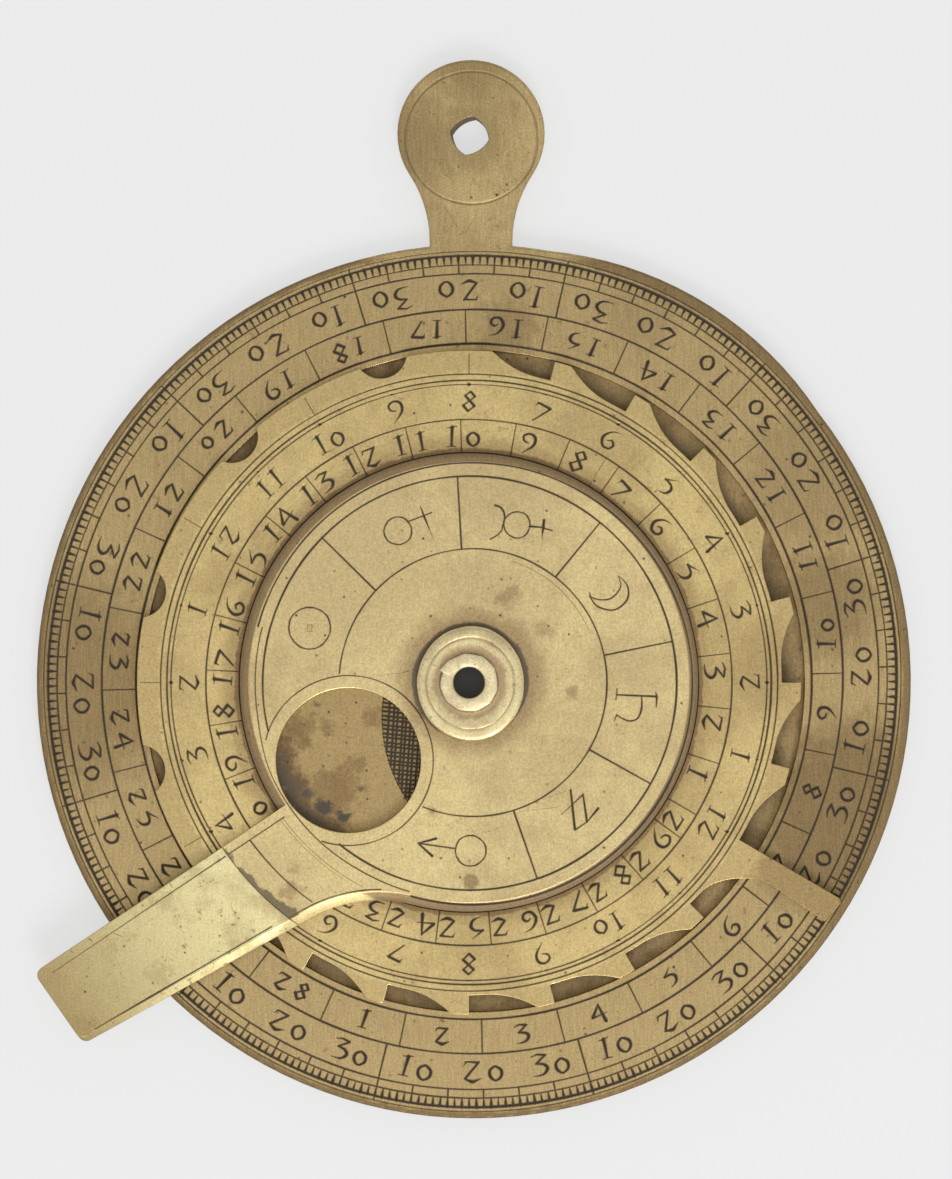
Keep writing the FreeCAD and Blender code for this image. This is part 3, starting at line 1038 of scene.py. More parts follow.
    def browning(self, add: Adder, place: Socket, smudge: Socket) -> Socket:
        """How brown the metal is: the strongest of clouds, smudges, specks, patches and the fade.

        Args:
            add: adds a node to the material.
            place: Object coordinates.
            smudge: noise that all cloudy marks share.

        Returns:
            0 where the metal is worn bright, up to 1 where it is all brown.
        """
        clouds = add(NOISE, {"Vector": place, "Scale": lumps(self.cloud_mm), "Detail": 5, "Roughness": 0.6})
        specks = add(NOISE, {"Vector": place, "Scale": lumps(self.speck_mm), "Detail": 4, "Roughness": 0.65})
        specks = add(RANGE, (specks, 0.55, 0.67, 0.0, 1.0), **SMOOTH)
        few, many = self.speck_share * 0.3, self.speck_share * 1.7
        chance = add(RANGE, (smudge, 0.4, 0.62, few, many), **SMOOTH)
        layers = [
            add(RANGE, (clouds, 0.38, 0.68, 0.0, self.cloud_share), **SMOOTH),
            add(RANGE, (smudge, 0.54, 0.76, 0.0, self.cloud_share), **SMOOTH),
            add(MATH, (specks, chance), operation="MULTIPLY"),
        ]
        patches = self.gathered(add, place, smudge, self.tarnish)
        if patches:
            layers.append(patches)
        if self.fade:
            layers.append(self.faded(add, place, smudge, self.fade))
        brown = layers[0]
        for layer in layers[1:]:
            brown = add(MATH, (brown, layer), operation="MAXIMUM")
        return brown

    @staticmethod
    def faded(add: Adder, place: Socket, smudge: Socket, fade: Fade) -> Socket:
        """Tarnish that grows along a line, its front made ragged by the smudges.

        Args:
            add: adds a node to the material.
            place: Object coordinates.
            smudge: noise that all cloudy marks share.
            fade: where it starts, where it ends and how strong it gets.

        Returns:
            0 before the start, up to the fade's strength at its end.
        """
        start, end = np.array(fade.start), np.array(fade.end)
        along = (end - start) / np.linalg.norm(end - start)
        reach = add(VECTOR_MATH, (place, (*along, 0)), "Value", operation="DOT_PRODUCT")
        ragged = add(MATH, (smudge, 6 * MM), operation="MULTIPLY")
        ragged = add(MATH, (ragged, 3 * MM), operation="SUBTRACT")
        reach = add(MATH, (reach, ragged), operation="ADD")
        low, high = float(start @ along) * MM, float(end @ along) * MM
        return add(RANGE, (reach, low, high, 0.0, fade.strength), **SMOOTH)

    def gathered(
        self, add: Adder, place: Socket, smudge: Socket, patches: tuple[Patch, ...]
    ) -> Optional[Socket]:
        """The strongest of some patches at each point, or nothing where there are none.

        Args:
            add: adds a node to the material.
            place: Object coordinates.
            smudge: noise that all cloudy marks share.
            patches: the patches of one kind.

        Returns:
            Their strength, or nothing.
        """
        found = None
        for patch in patches:
            mask = patch.mask(add, place, smudge)
            found = add(MATH, (found, mask), operation="MAXIMUM") if found else mask
        return found

    def all_pits(self, add: Adder, place: Socket, smudge: Socket) -> Socket:
        """Large pits, and more and fainter small ones.

        Args:
            add: adds a node to the material.
            place: Object coordinates.
            smudge: noise that all cloudy marks share.

        Returns:
            0 outside the pits, up to 1 in the deepest.
        """
        large = self.pits(add, place, smudge, self.pit_mm, self.pit_share)
        small = self.pits(add, place, smudge, self.pit_mm / self.fine_pits, self.pit_share * 1.6)
        faint = add(MATH, (small, 0.6), operation="MULTIPLY")
        return add(MATH, (large, faint), operation="MAXIMUM")

    def pits(self, add: Adder, place: Socket, smudge: Socket, size_mm: float, share: float) -> Socket:
        """Corrosion pits, in some cells of a pattern and not in others, most where it is cloudy.

        Args:
            add: adds a node to the material.
            place: Object coordinates.
            smudge: noise that all cloudy marks share.
            size_mm: width of a cell, in mm.
            share: how many of the cells have a pit.

        Returns:
            0 outside the pits, up to 1 in the deepest.
        """
        distance = add("ShaderNodeTexVoronoi", {"Vector": place, "Scale": lumps(size_mm)}, "Distance")
        dot = add(RANGE, (distance, 0.06, 0.2, 1.0, 0.0), **SMOOTH)
        cell = distance.node.outputs["Color"]
        drawn = add("ShaderNodeSeparateColor", {"Color": cell})
        gathered = add(RANGE, (smudge, 0.42, 0.66, share * 0.25, share * 2.2), **SMOOTH)
        pitted = self.gathered(add, place, smudge, self.pitted)
        if pitted:
            gathered = add(MATH, (gathered, pitted), operation="MAXIMUM")
        chosen = add(MATH, (drawn, gathered), operation="LESS_THAN")
        faint = add(MATH, (dot, drawn.node.outputs[1]), operation="MULTIPLY")
        return add(MATH, (faint, chosen), operation="MULTIPLY")


def finish(piece: bpy.types.Object, material: bpy.types.Material, slot: str) -> None:
    """Gives a piece its one material.

    Args:
        piece: the piece that is worked on.
        material: its finish.
        slot: not used.
    """
    piece.data.materials.clear()
    piece.data.materials.append(material)


def seat(piece: bpy.types.Object, body: str, node: str) -> None:
    """Lets a piece ride on its body, in the place of a CAD node.

    Args:
        piece: the piece that is worked on.
        body: body that it moves with.
        node: CAD node that it takes the place of.
    """
    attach(piece, body)
    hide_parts(node)
    open_edges = count_open_edges(piece)
    log.info("%s: %d faces, %d open edges", piece.name, len(piece.data.polygons), open_edges)


def count_open_edges(piece: bpy.types.Object) -> int:
    """Number of edges that don't have exactly two faces.

    Args:
        piece: the piece that is worked on.

    Returns:
        Their number.
    """
    mesh = bmesh.new()
    mesh.from_mesh(piece.data)
    found = sum(1 for e in mesh.edges if len(e.link_faces) != 2)
    mesh.free()
    return found


# Limb plate

def limb_wander(clockwise: float) -> float:
    """How far the limb's outer circles stray from true, in mm."""
    turn = clockwise % 360
    return 0.28 * math.exp(-((turn - 30) / 14) ** 2) - 0.4 * math.exp(-((turn - 98) / 26) ** 2)


@dataclass
class Limb:
    """Limb plate: handle, degree scale, ring of degree numbers and ring of twenty eight days."""

    centre: Point = (0.55, 0.1)
    fine_circle: float = 49.3
    scale_outer: float = 48.8
    scale_inner: float = 47.75
    number_outer: float = 46.75
    number_inner: float = 42.65
    day_inner: float = 38.7
    knob_circle_centre: Point = (0.276, 62.41)
    knob_circle: float = 7.6
    hole_centre: Point = (0.06, 62.64)
    hole_reach: float = 4.0
    hole_lean: tuple[float, float, float] = (0.3, -0.34, 0.0)
    # depth mark whose groove colour darkens the suspension hole's wall
    hole_grime: float = 0.07
    outline_reach: float = 45.0
    recess_reach: float = 40.0
    rim_easing: float = 0.3
    recess_easing: float = 0.08
    upper_side: float = 2.1
    wall_top: float = 2.19
    sector_lines: tuple[float, ...] = (
        12.7, 42.5, 72.5, 103.4, 133.9, 163.8, 193.5, 223.3, 253.1, 283.6, 313.4, 343.1
    )
    sector_degrees: int = 30
    long_stroke_every: int = 5
    labelled_every: int = 10
    days: int = 28
    first_day_line: float = 204.4
    number_height: float = 2.55
    day_height: float = 2.15

    def build(self) -> bpy.types.Object:
        """Makes the engraved plate.

        Returns:
            The piece.
        """
        piece = blank_of("limb_plate", "limb_plate_engraved", 0.0)
        ease_edges(piece, self.rim_easing, self.on_rim)
        ease_edges(piece, self.recess_easing, self.round_opening, 2)
        shape(piece, self.slant_hole)
        graver = Graver(piece, level=self.upper_side)
        graver.add(self.circles(), self.scratches(), self.scale(), self.numbers(), self.day_ring())
        graver.engrave(24)
        self.darken_hole(piece)
        return piece

    def on_rim(self, place: Vector) -> bool:
        """Whether a place in mm is on the plate's upper outline, the handle's too."""
        outer = math.hypot(place.x, place.y) > self.outline_reach
        return place.z > self.upper_side and outer and not self.in_hole(place)

    def round_opening(self, place: Vector) -> bool:
        """Whether a place in mm is on the upper edge of the recess or of the suspension hole."""
        inner = math.hypot(place.x, place.y) < self.recess_reach
        return place.z > self.upper_side and (inner or self.in_hole(place))

    def in_hole(self, place: Vector) -> bool:
        """Whether a place in mm is in or beside the suspension hole."""
        return math.dist((place.x, place.y), self.hole_centre) < self.hole_reach

    def slant_hole(self, place: Vector) -> Vector:
        """Leans the hole's wall, so that its upper left side is seen from above.

        Args:
            place: a point, in mm.

        Returns:
            Its new place.
        """
        if place.z < 1.0 and self.in_hole(place):
            return place + Vector(self.hole_lean)
        return place

    def darken_hole(self, piece: bpy.types.Object) -> None:
        """Darkens the hole's wall to the colour of a groove that deep.

        Args:
            piece: the piece that is worked on.
        """
        marks = piece.data.attributes[DEPTH_ATTRIBUTE].data
        for vertex, mark in zip(piece.data.vertices, marks):
            if vertex.co.z < self.wall_top * MM and self.in_hole(vertex.co / MM):
                mark.value = self.hole_grime

    def circles(self) -> list[Cut]:
        """The circles struck about the middle of the plate.

        Returns:
            The grooves.
        """
        struck = (
            (self.fine_circle, 0.1), (self.scale_outer, 0.21), (self.scale_inner, 0.13),
            (self.number_outer, 0.14), (self.number_inner, 0.16),
        )
        out = [arc(r, 0, 360, w, self.centre, limb_wander) for r, w in struck]
        out.append(arc(self.day_inner, 0, 360, 0.17, self.centre))
        knob = arc(self.knob_circle, 0, 360, 0.2, self.knob_circle_centre, unsteady=0.03)
        out.append(replace(knob, steepness=0.24))
        return out

    @staticmethod
    def scratches() -> list[Cut]:
        """Slips of a tool on the neck of the handle and below its hole.

        Returns:
            The grooves.
        """
        ends = (
            ((-2.9, 54.6), (-1.2, 52.0)), ((0.9, 53.6), (-0.3, 51.6)), ((2.1, 52.9), (3.6, 53.6)),
            ((-3.6, 51.4), (-2.2, 51.7)), ((3.2, 57.2), (4.4, 55.9)), ((-4.6, 60.1), (-3.1, 59.5)),
            ((-1.3, 67.9), (0.9, 68.4)),
        )
        return [straight(start, end, 0.035) for start, end in ends]

    def tick_angle(self, sector: int, degree: float) -> float:
        """Clockwise angle of a degree of a sector, counted anticlockwise from the sector's own line.

        Args:
            sector: number of the sector.
            degree: degree of the sector.

        Returns:
            The angle, in degrees.
        """
        start = self.sector_lines[sector]
        end = self.sector_lines[sector - 1] - (360 if sector == 0 else 0)
        return start + (end - start) * degree / self.sector_degrees

    def scale(self) -> list[Cut]:
        """Degree strokes, with a longer one every five degrees and a full one at each sector.

        Returns:
            The grooves.
        """
        out: list[Cut] = []
        for sector in range(len(self.sector_lines)):
            for degree in range(self.sector_degrees):
                angle = self.tick_angle(sector, degree)
                wander = limb_wander(angle)
                outer = self.scale_outer + wander
                inner = self.scale_inner + wander
                wide = 0.25 + 0.05 * waver(sector, degree)
                if degree == 0:
                    foot = self.number_inner + wander
                    out.append(radial(foot, self.fine_circle + wander, angle, 0.15, self.centre))
                elif degree % self.long_stroke_every == 0:
                    foot = self.number_outer + wander
                    out.append(radial(foot, outer, angle, 0.14, self.centre))
                head = polar(outer, angle, self.centre)
                lean = 0.06 * waver(sector + 20, degree * 2.3)
                foot = polar(inner - 0.1 * waver(sector + 30, degree), angle + lean, self.centre)
                out.append(straight(head, foot, wide, 0.4 * wide))
        return out

    def numbers(self) -> list[Cut]:
        """Degree numbers by tens in every sector, their tops to the pivot.

        Returns:
            The grooves.
        """
        hand = Lettering(self.number_height, 0.2, Tops.INWARD, 3, self.centre, gap=0.3)
        radius = (self.number_outer + self.number_inner) / 2
        out: list[Cut] = []
        for sector in range(len(self.sector_lines)):
            for label in range(self.labelled_every, self.sector_degrees + 1, self.labelled_every):
                angle = self.tick_angle(sector, label - self.labelled_every / 2)
                out += hand.write(str(label), radius + limb_wander(angle), angle)
        return out

    def day_ring(self) -> list[Cut]:
        """Twenty eight numbered cells, counted anticlockwise, tops to the pivot.

        Returns:
            The grooves.
        """
        hand = Lettering(self.day_height, 0.2, Tops.INWARD, 5, self.centre, gap=0.42)
        step = 360 / self.days
        radius = (self.number_inner + self.day_inner) / 2
        out: list[Cut] = []
        for day in range(1, self.days + 1):
            line = self.first_day_line - day * step
            head = self.number_inner + limb_wander(line)
            out.append(radial(self.day_inner, head, line, 0.13, self.centre))
            out += hand.write(str(day), radius, line + step / 2)
        return out


# Hour disc

@dataclass
class HourDial:
    """Hour disc: toothed rim, hours, ages of the moon and the dark round that shows her phase."""

    hours: int = 24
    top_hour: int = 8
    hour_radius: float = 32.15
    hour_height: float = 2.3
    outer_circle: float = 35.3
    middle_circle: float = 34.58
    dotted_circle: float = 34.1
    age_outer: float = 30.1
    age_inner: float = 26.2
    age_start: float = 120.2
    age_step: float = 12.203
    ages: int = 29
    age_height: float = 2.35
    rim_ticks: tuple[float, ...] = (240.0, 270.0, 300.0, 330.0, 0.0)
    dark_distance: float = 8.0
    dark_radius: float = 16.84
    hatch_step: float = 0.5
    hatch_clear: float = 7.4
    easing: float = 0.07
    upper_side: float = 3.3

    def build(self) -> bpy.types.Object:
        """Makes the engraved disc.

        Returns:
            The piece.
        """
        piece = blank_of("hour_disc", "hour_disc_engraved", self.easing)
        graver = Graver(piece, level=self.upper_side)
        graver.add(self.circles(), self.hour_numbers(), self.age_ring(), self.hatching())
        return graver.engrave(24)

    def circles(self) -> list[Cut]:
        """Circles, the dots that mark the hours, and the strokes on the smooth part of the rim.

        Returns:
            The grooves.
        """
        struck = (
            (self.outer_circle, 0.13), (self.middle_circle, 0.15), (self.dotted_circle, 0.12),
            (self.age_outer, 0.14), (self.age_inner + 0.05, 0.12),
        )
        out = [arc(r, 0, 360, w) for r, w in struck]
        for hour in range(self.hours):
            angle = hour * 360 / self.hours
            size = 0.26 if hour % 2 == 0 else 0.17
            x, y = polar(self.dotted_circle, angle)
            out.append(Cut(((x - 0.05, y), (x + 0.05, y)), (size, size)))
        for angle in self.rim_ticks:
            out.append(radial(self.outer_circle, 37.6, angle, 0.09))
        return out

    def hour_numbers(self) -> list[Cut]:
        """The hours, twice round to twelve, counted anticlockwise with their tops outward.

        Returns:
            The grooves.
        """
        hand = Lettering(self.hour_height, 0.18, Tops.OUTWARD, 7, gap=0.3)
        out: list[Cut] = []
        for place in range(self.hours):
            hour = (self.top_hour - place - 1) % 12 + 1
            out += hand.write(str(hour), self.hour_radius, place * 360 / self.hours)
        return out

    def age_ring(self) -> list[Cut]:
        """Days of the moon's age: a number's line runs between its figures.

        Returns:
            The grooves.
        """
        hand = Lettering(self.age_height, 0.195, Tops.OUTWARD, 9)
        radius = (self.age_outer + self.age_inner) / 2 + 0.05
        out: list[Cut] = []
        for age in range(self.ages + 1):
            line = self.age_start - age * self.age_step
            out.append(radial(self.age_inner, self.age_outer, line, 0.12))
            if age == 0:
                continue
            units = str(age % 10)
            out += hand.write(units, radius, line + (2.8 if age >= 10 else 3.6))
            if age >= 10:
                out += hand.write(str(age // 10), radius, line - 2.2)
        out.append(radial(self.age_inner, self.age_outer, 31.4, 0.06))
        return out

    def hatching(self) -> list[Cut]:
        """Crossed strokes, filled with black, over the round that stands for the dark moon.

        Returns:
            The grooves.
        """
        middle = polar(self.dark_distance, self.age_start)
        out: list[Cut] = [arc(self.dark_radius, 0, 360, 0.1, middle)]
        count = int(self.dark_radius / self.hatch_step)
        for turn in (4.0, 96.0):
            for i in range(-count + 1, count):
                offset = (i + 0.16 * waver(turn, i)) * self.hatch_step
                half = math.sqrt(self.dark_radius ** 2 - offset ** 2)
                start = polar(-half, turn, polar(offset, turn + 90, middle))
                end = polar(half, turn, polar(offset, turn + 90, middle))
                out += self.clear_of_pivot(start, end, 0.165)
        return out

    def clear_of_pivot(self, start: Point, end: Point, width: float) -> list[Cut]:
        """A straight stroke less what would lie under the collar, where nothing is ever seen.

        Args:
            start: one end of the stroke.
            end: its other end.
            width: half the groove's width.

        Returns:
            One groove, two, or none.
        """
        a, b = np.array(start), np.array(end)
        along = (b - a) / np.linalg.norm(b - a)
        foot = float(-a @ along)
        nearest = float(np.linalg.norm(a + foot * along))
        if nearest >= self.hatch_clear:
            return [straight(start, end, width)]
        half = math.sqrt(self.hatch_clear ** 2 - nearest ** 2)
        out = []
        length = float(np.linalg.norm(b - a))
        if foot - half > 0.5:
            out.append(straight(start, tuple(a + along * (foot - half)), width))
        if foot + half < length - 0.5:
            out.append(straight(tuple(a + along * (foot + half)), end, width))
        return out


def bevel_lines(
    piece: bpy.types.Object, inset: float, width: float, wanted: Callable[[float, float], bool]
) -> list[Cut]:
    """Grooves that follow the upper line of a bevel, a little inside the flat.

    Args:
        piece: blank whose bevels they follow.
        inset: from the bevel's upper line, in mm.
        width: half the groove's width.
        wanted: whether a piece of the line is followed, from its distance and clockwise angle.

    Returns:
        One groove for each unbroken run of edges.
    """
    mesh = bmesh.new()
    mesh.from_mesh(piece.data)
    steps: dict[int, tuple[int, Point, Point]] = {}
    for edge in mesh.edges:
        if len(edge.link_faces) != 2:
            continue
        flat, slope = sorted(edge.link_faces, key=lambda f: -f.normal.z)
        middle = (edge.verts[0].co + edge.verts[1].co) / (2 * MM)
        reach = math.hypot(middle.x, middle.y)
        turn = math.degrees(math.atan2(middle.x, middle.y)) % 360
        bevelled = flat.normal.z > 0.9999 and 0.8 < slope.normal.z < 0.95
        if not bevelled or not wanted(reach, turn):
            continue
        outward = Vector((slope.normal.x, slope.normal.y, 0)).normalized() * inset
        loop = next(lp for lp in edge.link_loops if lp.face is flat)
        a, b = loop.vert, loop.link_loop_next.vert
        ends = [(v.co.x / MM - outward.x, v.co.y / MM - outward.y) for v in (a, b)]
        steps[a.index] = (b.index, ends[0], ends[1])
    mesh.free()
    arrived = {following for following, _, _ in steps.values()}
    out: list[Cut] = []
    for start in sorted(set(steps) - arrived):
        points = [steps[start][1]]
        at: Optional[int] = start
        while at in steps:
            following, _, end = steps[at]
            if math.dist(end, points[-1]) > 0.3:
                points.append(end)
            at = following
        if len(points) > 2:
            widths = tuple(width * (1 + 0.2 * waver(3, 0.4 * i)) for i in range(len(points)))
            out.append(Cut(tuple(points), widths))
    return out


# Moon disc and blade

@dataclass
class MoonDial:
    """Moon disc with its window, and the index blade soldered on its stub."""

    outer_centre: Point = (0.07, -0.05)
    sign_outer: float = 23.65
    rim_line: float = 24.8
    rim_centre: Point = (0.3, -0.12)
    bevel_line: float = 25.25
    sign_inner: float = 15.3
    inner_centre: Point = (0.46, 0.0)
    sector_lines: tuple[float, ...] = (314.6, 356.8, 39.3, 78.5, 119.1, 160.8)
    window_distance: float = 16.4
    window_angle: float = 237.2
    window_ring: float = 9.71
    fiducial_inset: float = 1.05
    stub_arc: float = 30.8
    stub_start: float = 26.3
    easing: float = 0.08
    disc_eased_above: float = 4.05
    disc_upper_side: float = 4.12
    blade_upper_side: float = 4.3

    def build_disc(self) -> bpy.types.Object:
        """Makes the engraved disc with its stub.

        Returns:
            The disc.
        """
        piece = blank_of("moon_disc", "moon_disc_engraved", 0.0)
        ease_edges(piece, self.easing, lambda middle: middle.z > self.disc_eased_above, 2)
        graver = Graver(piece, lowest_normal=0.6, level=self.disc_upper_side)
        beside = bevel_lines(piece, 0.2, 0.12, self.beside_stub)
        graver.add(self.circles(), self.signs(), self.stub_lines(), self.scratches(), beside)
        return graver.engrave(20)

    def circles(self) -> list[Cut]:
        """Circles and the lines between the seven signs.

        Returns:
            The grooves.
        """
        window = polar(self.window_distance, self.window_angle)
        out = [
            arc(self.sign_outer, 256.5, 579, 0.165, self.outer_centre),
            arc(self.rim_line, 196, 285, 0.105, wander=self.rim_wander),
            arc(self.bevel_line, 285, 556, 0.15, self.rim_centre),
            arc(self.sign_inner, 274, 562, 0.14, self.inner_centre),
            arc(self.sign_inner - 0.75, 18, 66, 0.05, self.inner_centre),
            arc(self.window_ring, 284, 558, 0.12, window),
        ]
        for angle in self.sector_lines:
            foot = self.sign_inner + 0.46 * math.sin(math.radians(angle))
            out.append(radial(foot, self.sign_outer, angle, 0.16))
        return out

    @staticmethod
    def beside_stub(reach: float, clockwise: float) -> bool:
        """Whether a place lies on the disc's rim or the stub's trailing edge, near the arm."""
        return 25 < reach < ARM.seam - 0.45 and ARM.angle - 34 < clockwise < ARM.angle - 8

    @staticmethod
    def rim_wander(clockwise: float) -> float:
        """How the line inside the rim swings out to pass the window."""
        return 0.14 * smoothstep(206, 230, clockwise) - 0.5 * smoothstep(243, 263, clockwise)

    def signs(self) -> list[Cut]:
        """Signs of the seven wandering stars, their tops outward.

        Returns:
            The grooves.
        """
        out: list[Cut] = []
        for name, (angle, strokes) in SIGNS.items():
            pen = 0.065 if name == "sun" else SIGN_PEN
            for curved, *points in strokes:
                path = smooth_line(points) if curved else points
                spots = tuple(self.sign_point(angle, x, y) for x, y, _ in path)
                out.append(Cut(spots, tuple(max(pen * p[2], 0.04) for p in path)))
            if name in SIGN_RINGS:
                (x, y), radius = SIGN_RINGS[name]
                middle = self.sign_point(angle, x, y)
                out.append(arc(radius, 0, 360, SIGN_PEN * 0.9, middle, unsteady=0.05))
        return out

    @staticmethod
    def sign_point(angle: float, across: float, out: float) -> Point:
        """Point of a sign on the disc, from the sign's own plane."""
        return polar(across, angle + 90, polar(SIGN_RADIUS + out, angle))

    def stub_lines(self) -> list[Cut]:
        """Lines on the stub of the arm.

        Returns:
            The grooves.
        """
        inset = self.fiducial_inset
        return [
            straight(ARM.point(26.1, inset), ARM.point(ARM.seam - 0.25, inset), 0.12),
            arc(self.stub_arc, 234.2, 215.6, 0.12),
            arc(self.stub_start, 234.0, 207.5, 0.05),
            arc(self.stub_start + 0.35, 233.9, 213.0, 0.04),
        ]

    @staticmethod
    def scratches() -> list[Cut]:
        """Hairline crack beside the collar, and slips of the graver by the sixth sign.

        Returns:
            The grooves.
        """
        crack = ((-10.33, 0.62, 0.4), (-9.51, 0.97, 1.0), (-7.77, 1.09, 1.1), (-6.94, 1.33, 1.4))
        return [
            Cut(tuple((x, y) for x, y, _ in crack), tuple(0.05 * w for _, _, w in crack)),
            straight((8.44, -13.31), (11.14, -12.37), 0.04),
            straight((5.75, -14.71), (10.08, -14.24), 0.04),
            straight((1.5, -17.2), (3.4, -16.6), 0.035),
        ]

    def build_blade(self) -> bpy.types.Object:
        """Makes the engraved blade.

        Returns:
            The blade.
        """
        piece = blank_of("index_blade", "index_blade_engraved", self.easing)
        graver = Graver(piece, level=self.blade_upper_side)
        inset = self.fiducial_inset
        edge = [ARM.point(along, ARM.bevel_line(along) - 0.26) for along in (34.2, 42.0, 50.0, 57.5)]
        graver.add([
            straight(ARM.point(ARM.seam + 0.3, inset), ARM.point(57.9, inset + 0.1), 0.13, 0.07),
            Cut(tuple(edge), (0.13, 0.12, 0.17, 0.09)),
            straight(ARM.point(52.3, 0.28), ARM.point(52.2, 0.8), 0.1, 0.04),
            straight(ARM.point(54.8, 0.26), ARM.point(54.7, 0.6), 0.07, 0.04),
            straight(ARM.point(49.6, 1.35), ARM.point(49.0, 2.2), 0.06, 0.04),
        ])
        return graver.engrave(20)


# Spring collar and sight tube

def loops_of_profile(name: str, profile: Sequence[Point], segments: int = 128) -> bpy.types.Object:
    """Round piece raised from a circle by extruding and scaling it from one point of a profile to the next.

    Args:
        name: of the piece.
        profile: radius and height of each loop in mm, in order round the section.
        segments: sides of each loop.

    Returns:
        A closed ring.
    """
    bpy.ops.object.select_all(action="DESELECT")
    first_radius, first_height = profile[0]
    bpy.ops.mesh.primitive_circle_add(
        vertices=segments, radius=first_radius * MM, location=(0, 0, first_height * MM)
    )
    piece = bpy.context.active_object
    piece.name = piece.data.name = name
    bpy.ops.object.transform_apply(location=True, rotation=False, scale=False)
    bpy.ops.object.mode_set(mode="EDIT")
    bpy.ops.mesh.select_all(action="SELECT")
    before = profile[0]
    for radius, height in profile[1:]:
        bpy.ops.mesh.extrude_region_move(TRANSFORM_OT_translate={"value": (0, 0, (height - before[1]) * MM)})
        share = radius / before[0]
        bpy.ops.transform.resize(value=(share, share, 1), center_override=(0, 0, 0))
        before = (radius, height)
    bpy.ops.mesh.select_all(action="DESELECT")
    bpy.ops.mesh.select_non_manifold()
    bpy.ops.mesh.bridge_edge_loops()
    bpy.ops.mesh.select_all(action="SELECT")
    bpy.ops.mesh.normals_make_consistent(inside=False)
    bpy.ops.object.mode_set(mode="OBJECT")
    return piece


def shape(piece: bpy.types.Object, move: Callable[[Vector], Vector]) -> None:
    """Moves every vertex of a piece by hand, through a function of its place in mm."""
    for vertex in piece.data.vertices:
        vertex.co = move(vertex.co / MM) * MM


